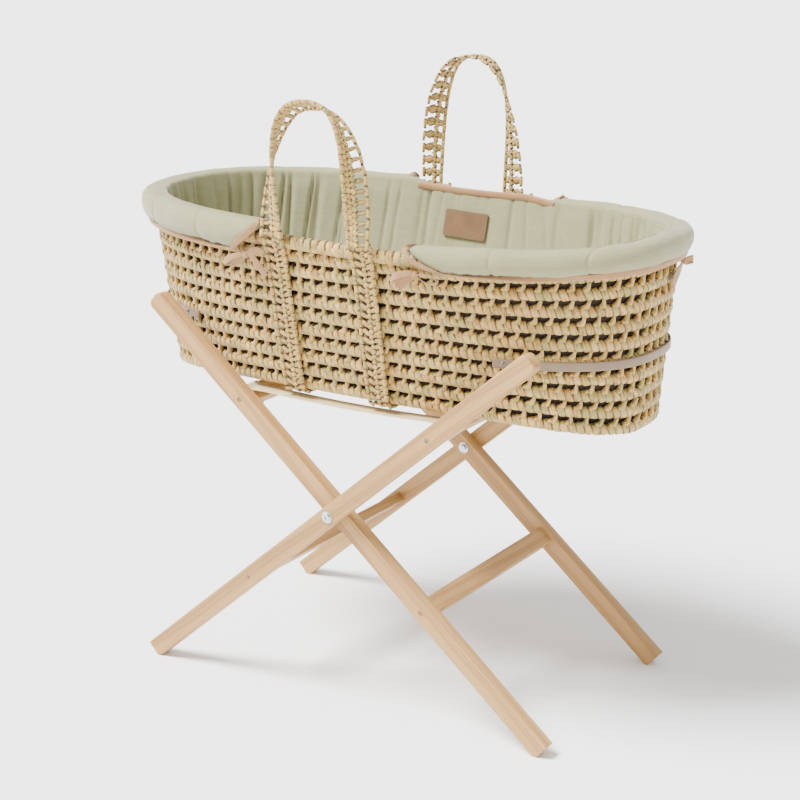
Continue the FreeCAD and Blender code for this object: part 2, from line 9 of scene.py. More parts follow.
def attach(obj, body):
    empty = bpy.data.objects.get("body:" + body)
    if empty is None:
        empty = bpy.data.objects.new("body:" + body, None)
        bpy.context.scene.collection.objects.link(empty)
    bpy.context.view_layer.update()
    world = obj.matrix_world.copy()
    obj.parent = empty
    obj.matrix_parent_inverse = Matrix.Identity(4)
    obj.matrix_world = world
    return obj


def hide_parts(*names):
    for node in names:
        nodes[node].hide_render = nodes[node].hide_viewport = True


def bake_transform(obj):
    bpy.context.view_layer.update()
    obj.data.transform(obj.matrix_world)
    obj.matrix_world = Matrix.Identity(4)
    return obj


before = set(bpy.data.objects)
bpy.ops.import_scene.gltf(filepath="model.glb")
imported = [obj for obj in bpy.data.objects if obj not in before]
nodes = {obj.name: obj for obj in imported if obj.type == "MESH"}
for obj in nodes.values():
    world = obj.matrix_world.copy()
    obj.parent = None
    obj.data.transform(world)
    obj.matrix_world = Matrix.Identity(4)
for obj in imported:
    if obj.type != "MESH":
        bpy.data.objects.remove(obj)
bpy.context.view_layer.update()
print("frame loaded:", len(nodes), "nodes")

# shape of the basket, in metres
basket = {
    "baseHalfLength": 0.395, "baseHalfWidth": 0.156, "baseFullness": 2.7,
    "rimHalfLength": 0.413, "rimHalfWidth": 0.2135, "rimFullness": 2.5,
    "bottom": 0.4536, "top": 0.690,
    "endDroop": 0.024, "endRise": 0.007,
    "rollHeight": 0.020,
    "footDrop": 0.011, "dropFrom": -0.10, "dropTo": 0.16, "tipFrom": 0.365, "tipTo": 0.425, "tipShare": 0.6,
    "rows": 10,
}


def clamp(value, low=0, high=1):
    return min(high, max(low, value))


def signedPower(value, power):
    return math.copysign(abs(value) ** power, value)


def sagAt(x):
    return basket["bottom"] - basket["endDroop"] * min(abs(x / basket["baseHalfLength"]), 1.1) ** 3


def brimAt(x):
    return basket["top"] + basket["endRise"] * (x / basket["rimHalfLength"]) ** 2


def footDrop(x):
    # the foot half's rim is pressed lower by its cuff
    share = clamp((x - basket["dropFrom"]) / (basket["dropTo"] - basket["dropFrom"]))
    tip = clamp((x - basket["tipFrom"]) / (basket["tipTo"] - basket["tipFrom"]))
    return basket["footDrop"] * share * share * (3 - 2 * share) * (1 - basket["tipShare"] * tip)


def ovalAt(height, out=0.0):
    # half length, half width and fullness of the wall's outline
    share = (height - basket["bottom"]) / (basket["top"] - basket["bottom"])

    def mix(low, high):
        return basket[low] + (basket[high] - basket[low]) * share

    return (mix("baseHalfLength", "rimHalfLength") + out, mix("baseHalfWidth", "rimHalfWidth") + out,
            mix("baseFullness", "rimFullness"))


def ovalPoint(turn, height, out=0.0):
    halfLength, halfWidth, fullness = ovalAt(height, out)
    return Vector((halfLength * signedPower(math.cos(turn), 2 / fullness),
                   halfWidth * signedPower(math.sin(turn), 2 / fullness), height))


def ovalShare(point, out=0.0):
    # 1 on the wall's outline, less inside it and more outside
    halfLength, halfWidth, fullness = ovalAt(point.z, out)
    return (abs(point.x / halfLength) ** fullness + abs(point.y / halfWidth) ** fullness) ** (1 / fullness)


def wallOut(point):
    # level direction straight out of the wall at a point of it
    halfLength, halfWidth, fullness = ovalAt(point.z)
    return Vector((signedPower(point.x / halfLength, fullness - 1) / halfLength,
                   signedPower(point.y / halfWidth, fullness - 1) / halfWidth, 0)).normalized()


def wallOuts(points):
    return [wallOut(point) for point in points]


def wallAtX(x, side, height, out=0.0):
    halfLength, halfWidth, fullness = ovalAt(height, out)
    y = side * halfWidth * max(1 - abs(x / halfLength) ** fullness, 0) ** (1 / fullness)
    return Vector((x, y, height))


def ovalLine(heightAt, out, count=200):
    # evenly spaced points of a closed line round the wall; heightAt gives the height at each x
    rough = []
    for i in range(count * 4):
        turn = 2 * math.pi * i / (count * 4)
        point = ovalPoint(turn, basket["top"], 0)
        for again in range(3):
            point = ovalPoint(turn, heightAt(point.x), out)
        rough.append(point)
    return evenly(rough, count, True)


def reaches(points):
    # the distance along a line of points to each of them
    reach = [0.0]
    for a, b in zip(points, points[1:]):
        reach.append(reach[-1] + (b - a).length)
    return reach


def evenly(points, count, closed=False):
    loop = points + [points[0]] if closed else points
    reach = reaches(loop)
    steps = count if closed else count - 1
    result, j = [], 0
    for i in range(count):
        want = reach[-1] * i / steps
        while j < len(loop) - 2 and reach[j + 1] < want:
            j += 1
        span = reach[j + 1] - reach[j]
        result.append(loop[j].lerp(loop[j + 1], (want - reach[j]) / span if span else 0))
    return result


def softened(points, rounds):
    for again in range(rounds):
        inner = [(a + 2 * b + c) / 4 for a, b, c in zip(points, points[1:], points[2:])]
        points = [points[0]] + inner + [points[-1]]
    return points


def runAt(points, i):
    # the direction of a line of points at one of them
    return (points[min(i + 1, len(points) - 1)] - points[max(i - 1, 0)]).normalized()


def rungs(levels, around, closed=True, loop=False):
    # the faces between rings of points that follow each other
    faces = []
    for j in range(levels if loop else levels - 1):
        m = (j + 1) % levels
        for i in range(around if closed else around - 1):
            k = (i + 1) % around
            faces.append((j * around + i, j * around + k, m * around + k, m * around + i))
    return faces


def tube(levels, around):
    last = (levels - 1) * around
    return rungs(levels, around) + [tuple(range(around)), tuple(range(last, last + around))]


def newObject(name, verts, faces, edges=(), smooth=True):
    mesh = bpy.data.meshes.new(name)
    mesh.from_pydata([tuple(v) for v in verts], list(edges), list(faces))
    mesh.update()
    item = bpy.data.objects.new(name, mesh)
    bpy.context.scene.collection.objects.link(item)
    if smooth and faces:
        mesh.polygons.foreach_set("use_smooth", [True] * len(mesh.polygons))
    return item


def outwards(item):
    work = bmesh.new()
    work.from_mesh(item.data)
    bmesh.ops.remove_doubles(work, verts=work.verts, dist=1e-6)
    bmesh.ops.recalc_face_normals(work, faces=work.faces)
    work.to_mesh(item.data)
    work.free()
    return item


def settle(item):
    # turns what the modifiers make into the object's own plain mesh
    graph = bpy.context.evaluated_depsgraph_get()
    mesh = bpy.data.meshes.new_from_object(item.evaluated_get(graph))
    item.modifiers.clear()
    if item.type == "MESH":
        item.data = mesh
        return item
    plain = bpy.data.objects.new(item.name + "_mesh", mesh)
    bpy.context.scene.collection.objects.link(plain)
    bpy.data.objects.remove(item)
    return plain


def joined(name, items):
    work = bmesh.new()
    for item in items:
        work.from_mesh(item.data)
    mesh = bpy.data.meshes.new(name)
    work.to_mesh(mesh)
    work.free()
    for material in items[0].data.materials:
        mesh.materials.append(material)
    result = bpy.data.objects.new(name, mesh)
    bpy.context.scene.collection.objects.link(result)
    for item in items:
        bpy.data.objects.remove(item)
    return result


def finishPiece(item, body, material=None, node=None):
    if material:
        item.data.materials.clear()
        item.data.materials.append(material)
    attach(item, body)
    if node:
        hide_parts(node)
    return item


def link(tree, source, target):
    tree.links.new(source, target)


def shaderTree(name):
    material = bpy.data.materials.new(name)
    material.use_nodes = True
    tree = material.node_tree
    tree.nodes.clear()
    end = tree.nodes.new("ShaderNodeOutputMaterial")
    shader = tree.nodes.new("ShaderNodeBsdfPrincipled")
    link(tree, shader.outputs[0], end.inputs[0])
    return material, tree, shader


def texture(tree, kind, source, **values):
    node = tree.nodes.new(kind)
    if source is not None:
        link(tree, source, node.inputs["Vector"])
    for name, value in values.items():
        if name in node.inputs:
            node.inputs[name].default_value = value
        else:
            setattr(node, name, value)
    return node


def mapped(tree, source, scale=(1, 1, 1), turn=(0, 0, 0), place=(0, 0, 0)):
    # the same space stretched, turned and moved
    node = tree.nodes.new("ShaderNodeMapping")
    node.inputs["Scale"].default_value = scale
    node.inputs["Rotation"].default_value = turn
    node.inputs["Location"].default_value = place
    link(tree, source, node.inputs["Vector"])
    return node.outputs[0]


def clouds(tree, source, scale, detail=2.0):
    return texture(tree, "ShaderNodeTexNoise", mapped(tree, source, scale=scale), Scale=1.0,
                   Detail=detail).outputs["Fac"]


def ramp(tree, source, stops):
    node = tree.nodes.new("ShaderNodeValToRGB")
    while len(node.color_ramp.elements) < len(stops):
        node.color_ramp.elements.new(0.5)
    for element, (place, colour) in zip(node.color_ramp.elements, stops):
        element.position = place
        element.color = (*colour, 1) if isinstance(colour, tuple) else (colour, colour, colour, 1)
    link(tree, source, node.inputs[0])
    return node.outputs[0]


def mixColour(tree, share, a, b, blend="MIX"):
    node = tree.nodes.new("ShaderNodeMix")
    node.data_type = "RGBA"
    node.blend_type = blend
    for place, value in ((0, share), (6, a), (7, b)):
        if isinstance(value, bpy.types.NodeSocket):
            link(tree, value, node.inputs[place])
        elif place == 0:
            node.inputs[0].default_value = value
        else:
            node.inputs[place].default_value = (*value, 1)
    return node.outputs[2]


def toned(tree, colour, tone):
    return mixColour(tree, 1.0, colour, tone, "MULTIPLY")


def maths(tree, kind, a, b=None, c=None):
    node = tree.nodes.new("ShaderNodeMath")
    node.operation = kind
    for i, value in enumerate((a, b, c)):
        if isinstance(value, bpy.types.NodeSocket):
            link(tree, value, node.inputs[i])
        elif value is not None:
            node.inputs[i].default_value = value
    return node.outputs[0]


def bump(tree, shader, height, strength, distance):
    node = tree.nodes.new("ShaderNodeBump")
    node.inputs["Strength"].default_value = strength
    node.inputs["Distance"].default_value = distance
    link(tree, height, node.inputs["Height"])
    link(tree, node.outputs[0], shader.inputs["Normal"])


def tune(shader, values):
    for name, value in values.items():
        shader.inputs[name].default_value = value


def objectCoords(tree):
    return tree.nodes.new("ShaderNodeTexCoord").outputs["Object"]


def attribute(tree, name, output="Fac"):
    node = tree.nodes.new("ShaderNodeAttribute")
    node.attribute_name = name
    return node.outputs[output]


pine = {
    "light": (0.47, 0.278, 0.105), "dark": (0.32, 0.158, 0.046), "pores": (0.25, 0.118, 0.036),
    "roughness": 0.52,
}


def pineWood(name, turn, seed):
    # grain runs along the local X axis that the turn gives
    material, tree, shader = shaderTree(name)
    along = mapped(tree, objectCoords(tree), turn=turn, place=(seed, 0.07 * seed, 0.03 * seed))
    wander = texture(tree, "ShaderNodeTexNoise", mapped(tree, along, scale=(1.6, 9, 9)), Scale=1.0,
                     Detail=2.0)
    warped = mixColour(tree, 0.045, along, wander.outputs["Color"], "ADD")
    rings = texture(tree, "ShaderNodeTexWave", mapped(tree, warped, scale=(1.2, 30, 30)), wave_type="BANDS",
                    bands_direction="DIAGONAL", Scale=0.9, Distortion=3.2, Detail=2.0)
    rings.inputs["Detail Scale"].default_value = 0.7
    fine = clouds(tree, along, (14, 900, 900), 3.0)
    band = ramp(tree, rings.outputs["Fac"], [(0.0, 0.0), (0.55, 0.12), (0.88, 0.75), (1.0, 0.35)])
    wood = mixColour(tree, band, pine["light"], pine["dark"])
    streak = ramp(tree, fine, [(0.42, 0.0), (0.75, 0.45)])
    wood = mixColour(tree, streak, wood, pine["pores"])
    broad = clouds(tree, along, (3, 18, 18), 1.0)
    tone = ramp(tree, broad, [(0.3, (0.90, 0.88, 0.86)), (0.7, (1.06, 1.06, 1.06))])
    link(tree, toned(tree, wood, tone), shader.inputs["Base Color"])
    tune(shader, {"Roughness": pine["roughness"], "Specular IOR Level": 0.35})
    bump(tree, shader, maths(tree, "ADD", fine, maths(tree, "MULTIPLY", band, 0.5)), 0.22, 0.0004)
    return material


def metal(name, colour, roughness):
    material, tree, shader = shaderTree(name)
    grain = clouds(tree, objectCoords(tree), (900, 900, 900), 3.0)
    dull = clouds(tree, objectCoords(tree), (120, 120, 120))
    dark = tuple(0.72 * part for part in colour)
    link(tree, mixColour(tree, ramp(tree, dull, [(0.35, 0.0), (0.7, 1.0)]), dark, colour),
         shader.inputs["Base Color"])
    link(tree, maths(tree, "MULTIPLY_ADD", grain, 0.22, roughness - 0.1), shader.inputs["Roughness"])
    tune(shader, {"Metallic": 1.0})
    bump(tree, shader, grain, 0.12, 0.0001)
    return material


palm = {
    "tints": [(0.00, (0.42, 0.262, 0.070)), (0.20, (0.51, 0.342, 0.098)), (0.40, (0.38, 0.290, 0.084)),
              (0.56, (0.56, 0.388, 0.125)), (0.72, (0.50, 0.305, 0.092)), (0.86, (0.34, 0.275, 0.086)),
              (1.00, (0.46, 0.308, 0.088))],
    "fibre": 22.0, "fold": 5.0, "roughness": 0.58,
}


def palmLeaf(name):
    # the strip's own UV map gives the place across and along it; tint is one value for each strip
    material, tree, shader = shaderTree(name)
    uv = texture(tree, "ShaderNodeUVMap", None, uv_map="UVMap").outputs[0]
    tint = attribute(tree, "tint")
    apart = tree.nodes.new("ShaderNodeSeparateXYZ")
    link(tree, uv, apart.inputs[0])
    across, along = apart.outputs[0], apart.outputs[1]

    def strip(acrossScale, alongScale, tintScale, detail):
        space = tree.nodes.new("ShaderNodeCombineXYZ")
        for i, (part, scale) in enumerate(((across, acrossScale), (along, alongScale), (tint, tintScale))):
            link(tree, maths(tree, "MULTIPLY", part, scale), space.inputs[i])
        return texture(tree, "ShaderNodeTexNoise", space.outputs[0], Scale=1.0, Detail=detail).outputs["Fac"]

    fibres = strip(palm["fibre"], 3.0, 57.0, 3.0)
    folds = strip(palm["fold"], 1.6, 91.0, 1.0)
    # the strip darkens towards both of its edges: painted shade in the creases between the wraps
    edge = maths(tree, "ABSOLUTE", maths(tree, "SUBTRACT", across, 0.5))
    colour = ramp(tree, tint, palm["tints"])
    for source, stops in (
            (fibres, [(0.30, (0.70, 0.63, 0.50)), (0.5, (1.0, 1.0, 1.0)), (0.72, (1.16, 1.17, 1.16))]),
            (folds, [(0.34, (0.62, 0.54, 0.42)), (0.45, (0.97, 0.96, 0.94)), (0.64, (1.13, 1.14, 1.14))]),
            (clouds(tree, objectCoords(tree), (28, 28, 28)),
             [(0.35, (0.93, 0.95, 0.92)), (0.65, (1.05, 1.0, 0.97))]),
            (edge, [(0.29, (1.0, 1.0, 1.0)), (0.375, (0.62, 0.53, 0.40)), (0.43, (0.20, 0.14, 0.08))])):
        colour = toned(tree, colour, ramp(tree, source, stops))
    link(tree, colour, shader.inputs["Base Color"])
    tune(shader, {"Roughness": palm["roughness"], "Specular IOR Level": 0.4, "Sheen Weight": 0.12})
    relief = maths(tree, "MULTIPLY_ADD", folds, 2.4, fibres)
    bump(tree, shader, relief, 0.7, 0.0009)
    return material


def fabric(name, colour, thread=1400.0, contrast=0.10, mottle=0.05):
    # plain weave: two sets of fine threads in the object's own space
    material, tree, shader = shaderTree(name)
    place = objectCoords(tree)
    warp = texture(tree, "ShaderNodeTexWave", mapped(tree, place, scale=(thread, thread, 0)), Scale=0.16,
                   bands_direction="DIAGONAL", Distortion=0.6, Detail=1.0)
    weft = texture(tree, "ShaderNodeTexWave", mapped(tree, place, scale=(0, 0, thread)), Scale=0.16,
                   bands_direction="Z", Distortion=0.6, Detail=1.0)
    weave = maths(tree, "MAXIMUM", warp.outputs["Fac"], weft.outputs["Fac"])
    slub = clouds(tree, place, (55, 55, 240), 3.0)
    blotch = clouds(tree, place, (16, 16, 16))
    low = tuple(part * (1 - contrast) for part in colour)
    high = tuple(min(part * (1 + contrast), 1) for part in colour)
    shade = toned(tree, mixColour(tree, weave, low, high),
                  ramp(tree, slub, [(0.35, 1 - mottle), (0.65, 1 + mottle)]))
    shade = toned(tree, shade, ramp(tree, blotch, [(0.3, (1 - mottle, 1 - mottle, 1 - 1.4 * mottle)),
                                                   (0.7, (1.0, 1.0, 1.0))]))
    link(tree, shade, shader.inputs["Base Color"])
    tune(shader, {"Roughness": 0.85, "Sheen Weight": 0.25, "Sheen Roughness": 0.5,
                  "Specular IOR Level": 0.25})
    bump(tree, shader, maths(tree, "MULTIPLY_ADD", weave, 0.5, slub), 0.35, 0.0004)
    return material


def leather(name, colour, roughness=0.5, scale=900.0):
    material, tree, shader = shaderTree(name)
    place = objectCoords(tree)
    cells = texture(tree, "ShaderNodeTexVoronoi", mapped(tree, place, scale=(scale, scale, scale)),
                    Scale=1.0)
    cloud = clouds(tree, place, (60, 60, 60), 4.0)
    low = tuple(0.80 * part for part in colour)
    shade = mixColour(tree, ramp(tree, cloud, [(0.3, 0.0), (0.7, 1.0)]), low, colour)
    link(tree, shade, shader.inputs["Base Color"])
    link(tree, maths(tree, "MULTIPLY_ADD", cloud, 0.25, roughness - 0.1), shader.inputs["Roughness"])
    bump(tree, shader, cells.outputs["Distance"], 0.25, 0.0003)
    return material


def leafShadow(name):
    material, tree, shader = shaderTree(name)
    blotch = clouds(tree, objectCoords(tree), (90, 90, 90))
    link(tree, mixColour(tree, blotch, (0.030, 0.018, 0.011), (0.060, 0.040, 0.024)),
         shader.inputs["Base Color"])
    tune(shader, {"Roughness": 0.9})
    return material


leanAngle = math.radians(40.3)
outerPine = pineWood("pineOuter", (0, leanAngle, 0), 0.3)
innerPine = pineWood("pineInner", (0, -leanAngle, 0), 1.7)
railPine = pineWood("pineRail", (0, 0, -math.pi / 2), 2.9)
zinc = metal("zincPlate", (0.74, 0.75, 0.77), 0.32)
yellowZinc = metal("yellowZinc", (0.40, 0.30, 0.16), 0.38)
agedMetal = metal("agedMetal", (0.30, 0.26, 0.21), 0.40)
leaf = palmLeaf("palmLeaf")
leafShade = leafShadow("palmShadow")
sage = fabric("sageCotton", (0.246, 0.238, 0.124), mottle=0.04)
cream = fabric("creamWebbing", (0.54, 0.42, 0.22), thread=900.0, contrast=0.2)
white = fabric("whiteCotton", (0.62, 0.60, 0.55))
binding = fabric("beigeBinding", (0.300, 0.162, 0.068), contrast=0.12)
board = leather("fibreboard", (0.24, 0.165, 0.10), 0.7, 500)
foam = fabric("foamCore", (0.60, 0.57, 0.47), thread=500.0)
taupe = leather("taupeBand", (0.215, 0.142, 0.082), 0.45)
patchLeather = leather("tanPatch", (0.150, 0.076, 0.028), 0.5)

looks = {
    "outer_leg": outerPine, "inner_leg": innerPine, "outer_upper": railPine, "outer_lower": railPine,
    "inner_upper": railPine, "inner_lower": railPine, "outer_rail_screws": yellowZinc,
    "inner_rail_screws": yellowZinc, "front_pivot": zinc, "back_pivot": zinc, "outer_strap": zinc,
    "inner_strap": zinc, "base_board": board, "liner_floor": sage, "mattress_core": foam,
}
for name, item in nodes.items():
    for start, material in looks.items():
        if name.startswith(start):
            for place in item.material_slots:
                place.material = material
print("materials and stand done")


def barrel(name, rings, around=10, flat=1.0, skew=0.0):
    # a closed barrel along X; each ring is (x, radius); its UV runs across and round the strip, and skew
    # slants the strip over the face while its ends stay in line
    verts, faces, uvs = [], [], []
    for x, radius in rings:
        for i in range(around):
            turn = 2 * math.pi * i / around
            y, z = math.cos(turn), math.sin(turn)
            verts.append((x + skew * z * abs(z), 0.5 * radius * y * flat, 0.5 * radius * z))
    for j in range(len(rings) - 1):
        for i in range(around):
            k = (i + 1) % around
            faces.append((j * around + i, (j + 1) * around + i, (j + 1) * around + k, j * around + k))
            u0, u1 = rings[j][0] + 0.5, rings[j + 1][0] + 0.5
            v0, v1 = i / around, (i + 1) / around
            uvs += [(u0, v0), (u1, v0), (u1, v1), (u0, v1)]
    faces.append(tuple(range(around)))
    uvs += [(0.0, 0.5)] * around
    last = (len(rings) - 1) * around
    faces.append(tuple(range(last + around - 1, last - 1, -1)))
    uvs += [(1.0, 0.5)] * around
    item = newObject(name, verts, faces)
    layer = item.data.uv_layers.new(name="UVMap")
    for loop, uv in zip(layer.data, uvs):
        loop.uv = uv
    return outwards(item)


wrapUnit = barrel("wrapUnit", [(-0.5, 0.62), (-0.39, 0.91), (0.05, 1.0), (0.39, 0.94), (0.5, 0.66)],
                  skew=0.20)
rollUnit = barrel("rollUnit", [(-0.5, 0.90), (-0.3, 0.99), (0.2, 1.0), (0.5, 0.93)], skew=0.10)
cordUnit = barrel("cordUnit", [(-0.5, 0.72), (-0.2, 0.97), (0.25, 1.0), (0.5, 0.76)], around=7)


def repeatTree():
    # instances of a unit along lines, X along the line and Y along the attribute "out"
    tree = bpy.data.node_groups.new("leafAlongLine", "GeometryNodeTree")
    sockets = [("Lines", "NodeSocketGeometry"), ("Unit", "NodeSocketObject"), ("Pitch", "NodeSocketFloat"),
               ("Size", "NodeSocketVector"),
               ("Size Spread", "NodeSocketFloat"), ("Lean", "NodeSocketVector"),
               ("Lean Spread", "NodeSocketVector"), ("Seed", "NodeSocketInt"),
               ("Material", "NodeSocketMaterial")]
    for name, kind in sockets:
        tree.interface.new_socket(name=name, in_out="INPUT", socket_type=kind)
    tree.interface.new_socket(name="Result", in_out="OUTPUT", socket_type="NodeSocketGeometry")
    new = tree.nodes.new
    start, end = new("NodeGroupInput"), new("NodeGroupOutput")
    value = {name: start.outputs[name] for name, kind in sockets}
    curve, even = new("GeometryNodeMeshToCurve"), new("GeometryNodeResampleCurve")
    link(tree, value["Lines"], curve.inputs["Mesh"])
    if "Mode" in even.inputs:
        even.inputs["Mode"].default_value = "Length"
    else:
        even.mode = "LENGTH"
    link(tree, curve.outputs[0], even.inputs["Curve"])
    link(tree, value["Pitch"], even.inputs["Length"])
    unit = new("GeometryNodeObjectInfo")
    link(tree, value["Unit"], unit.inputs["Object"])
    tangent, out = new("GeometryNodeInputTangent"), new("GeometryNodeInputNamedAttribute")
    out.data_type = "FLOAT_VECTOR"
    out.inputs["Name"].default_value = "out"
    axes = new("FunctionNodeAxesToRotation")
    axes.primary_axis, axes.secondary_axis = "X", "Y"
    link(tree, tangent.outputs[0], axes.inputs[0])
    link(tree, out.outputs[0], axes.inputs[1])

    def randomVector(low, high, seedShift):
        node = new("FunctionNodeRandomValue")
        node.data_type = "FLOAT_VECTOR"
        link(tree, low, node.inputs[0])
        link(tree, high, node.inputs[1])
        seed = new("ShaderNodeMath")
        seed.operation = "ADD"
        seed.inputs[1].default_value = seedShift
        link(tree, value["Seed"], seed.inputs[0])
        link(tree, seed.outputs[0], node.inputs["Seed"])
        return node.outputs[0]

    def vector(kind, a, b):
        node = new("ShaderNodeVectorMath")
        node.operation = kind
        for i, part in enumerate((a, b)):
            if isinstance(part, tuple):
                node.inputs[i].default_value = part
            else:
                link(tree, part, node.inputs[i])
        return node.outputs[0]

    low = vector("SUBTRACT", value["Lean"], value["Lean Spread"])
    high = vector("ADD", value["Lean"], value["Lean Spread"])
    tilt = new("FunctionNodeEulerToRotation")
    link(tree, randomVector(low, high, 11), tilt.inputs[0])
    turned = new("FunctionNodeRotateRotation")
    turned.rotation_space = "LOCAL"
    link(tree, axes.outputs[0], turned.inputs[0])
    link(tree, tilt.outputs[0], turned.inputs[1])
    spread = new("ShaderNodeCombineXYZ")
    for i in range(3):
        link(tree, value["Size Spread"], spread.inputs[i])
    smaller = vector("SUBTRACT", (1, 1, 1), spread.outputs[0])
    larger = vector("ADD", (1, 1, 1), spread.outputs[0])
    scale = vector("MULTIPLY", value["Size"], randomVector(smaller, larger, 23))
    place = new("GeometryNodeInstanceOnPoints")
    link(tree, even.outputs[0], place.inputs["Points"])
    link(tree, unit.outputs["Geometry"], place.inputs["Instance"])
    link(tree, turned.outputs[0], place.inputs["Rotation"])
    link(tree, scale, place.inputs["Scale"])
    tint = new("FunctionNodeRandomValue")
    tint.data_type = "FLOAT"
    link(tree, value["Seed"], tint.inputs["Seed"])
    store = new("GeometryNodeStoreNamedAttribute")
    store.data_type, store.domain = "FLOAT", "INSTANCE"
    store.inputs["Name"].default_value = "tint"
    link(tree, place.outputs[0], store.inputs["Geometry"])
    link(tree, [o for o in tint.outputs if o.enabled][0], store.inputs["Value"])
    real, paint = new("GeometryNodeRealizeInstances"), new("GeometryNodeSetMaterial")
    link(tree, store.outputs[0], real.inputs[0])
    link(tree, real.outputs[0], paint.inputs["Geometry"])
    link(tree, value["Material"], paint.inputs["Material"])
    link(tree, paint.outputs[0], end.inputs[0])
    return tree


leafAlongLine = repeatTree()


def lines(name, runs, outs, closed=True):
    # an object of bare edges with the direction "out" stored on each point
    verts, edges, flat = [], [], []
    for run, out in zip(runs, outs):
        first = len(verts)
        verts += run
        flat += [part for direction in out for part in direction]
        edges += [(first + i, first + i + 1) for i in range(len(run) - 1)]
        if closed:
            edges.append((len(verts) - 1, first))
    item = newObject(name, verts, [], edges)
    item.data.attributes.new("out", "FLOAT_VECTOR", "POINT").data.foreach_set("vector", flat)
    return item


def repeated(name, runs, outs, unit, pitch, size, seed, lean, leanSpread, sizeSpread, closed=True):
    item = lines(name, runs, outs, closed)
    modifier = item.modifiers.new("repeat", "NODES")
    modifier.node_group = leafAlongLine
    values = {"Unit": unit, "Pitch": pitch, "Size": size, "Size Spread": sizeSpread, "Lean": lean,
              "Lean Spread": leanSpread, "Seed": seed, "Material": leaf}
    for socket in leafAlongLine.interface.items_tree:
        if socket.in_out == "INPUT" and socket.name in values:
            modifier[socket.identifier] = values[socket.name]
    return settle(item)


weave = {
    "wrapPitch": 0.0105, "wrapSize": (0.0126, 0.0150, 0.0180), "wrapLean": (0, 0.20, 0),
    "wrapLeanSpread": (0.07, 0.13, 0.07), "neckPitch": 0.0210, "neckSize": (0.0128, 0.0085, 0.0135),
    "neckLean": (0, -0.05, 0), "neckLeanSpread": (0.12, 0.20, 0.10),
    "rollCentre": -0.0085, "neckCentre": -0.0066, "seed": 41,
}


def rowHeight(share):
    # height of a line that lies this share of the way from the base to the rim roll, at each x
    def at(x):
        low, high = sagAt(x), brimAt(x) - basket["rollHeight"]
        return low + (high - low) * share
    return at


def outsOf(points):
    # away from the wall, square to it: the wall leans outwards as it rises
    result = []
    for point in points:
        up, down = ovalAt(basket["top"]), ovalAt(basket["bottom"])
        flare = math.atan2(up[1] - down[1], basket["top"] - basket["bottom"]) * abs(wallOut(point).y)
        level = wallOut(point)
        result.append(Vector((level.x * math.cos(flare), level.y * math.cos(flare), -math.sin(flare))))
    return result


def rowRuns(shares, out):
    runs = []
    for share in shares:
        points = ovalLine(rowHeight(share), out)
        shift = random.Random(int(share * 1000) + weave["seed"]).randrange(len(points))
        runs.append(points[shift:] + points[:shift])
    return runs


rows = basket["rows"]
groups = {"lower_rows": range(0, 4), "middle_rows": range(4, 7), "upper_rows": range(7, 10)}
weavePieces = []
for name, members in groups.items():
    runs = rowRuns([(row + 0.5) / rows for row in members], weave["rollCentre"])
    weavePieces.append(repeated(name, runs, [outsOf(run) for run in runs], wrapUnit, weave["wrapPitch"],
                                weave["wrapSize"], weave["seed"] + members[0], weave["wrapLean"],
                                weave["wrapLeanSpread"], 0.05))
print("wall rows done")


def finShape(name):
    # a leaning tab that is wide below and narrow on top; the unit's Z points down the wall
    levels = [(0.5, -0.66, 0.40, 0.50), (0.30, -0.44, 0.42, 0.50), (0.10, -0.10, 0.43, 0.46),
              (-0.14, 0.06, 0.42, 0.40), (-0.5, 0.04, 0.44, 0.44)]
    verts, around = [], 8
    for z, left, right, thick in levels:
        middle, half = (left + right) / 2, (right - left) / 2
        for i in range(around):
            turn = 2 * math.pi * (i + 0.5) / around
            c, s = math.cos(turn), math.sin(turn)
            verts.append((middle + half * signedPower(c, 0.6), thick * signedPower(s, 0.8), z))
    item = newObject(name, verts, tube(len(levels), around))
    layer = item.data.uv_layers.new(name="UVMap")
    for polygon in item.data.polygons:
        for index in polygon.loop_indices:
            place = item.data.vertices[item.data.loops[index].vertex_index].co
            layer.data[index].uv = (0.5 + 0.8 * place.x, 0.5 - 0.3 * place.z)
    return outwards(item)


finUnit = finShape("finUnit")
gapRuns = rowRuns([row / rows for row in range(1, rows + 1)], weave["neckCentre"])
for name, chosen in (("lower_stitches", gapRuns[:5]), ("upper_stitches", gapRuns[5:])):
    weavePieces.append(repeated(name, chosen, [outsOf(run) for run in chosen], finUnit, weave["neckPitch"],
                                weave["neckSize"], weave["seed"] + 7 * len(name), weave["neckLean"],
                                weave["neckLeanSpread"], 0.12))

rim = {"pitch": 0.0118, "size": (0.0176, 0.0180, 0.0200), "lean": (0, 0.10, 0),
       "spread": (0.015, 0.06, 0.03),
       "out": -0.0068, "seed": 90}
rimLine = ovalLine(lambda x: brimAt(x) - (basket["rollHeight"] + footDrop(x)) / 2, rim["out"])
rimRoll = repeated("rim_wraps", [rimLine], [outsOf(rimLine)], rollUnit, rim["pitch"], rim["size"],
                   rim["seed"], rim["lean"], rim["spread"], 0.025)

under = {"rings": 7, "ringPitch": 0.0205, "first": -0.019, "size": (0.0128, 0.0105, 0.0188), "above": 0.0062,
         "seed": 300}
underRuns = []
for ring in range(under["rings"]):
    points = ovalLine(sagAt, under["first"] - ring * under["ringPitch"])
    underRuns.append([Vector((p.x, p.y, sagAt(p.x) + under["above"])) for p in points])
weavePieces.append(repeated("base_coils", underRuns, [[Vector((0, 0, -1))] * len(run) for run in underRuns],
                            wrapUnit, weave["wrapPitch"], under["size"], under["seed"], weave["wrapLean"],
                            weave["wrapLeanSpread"], 0.05))


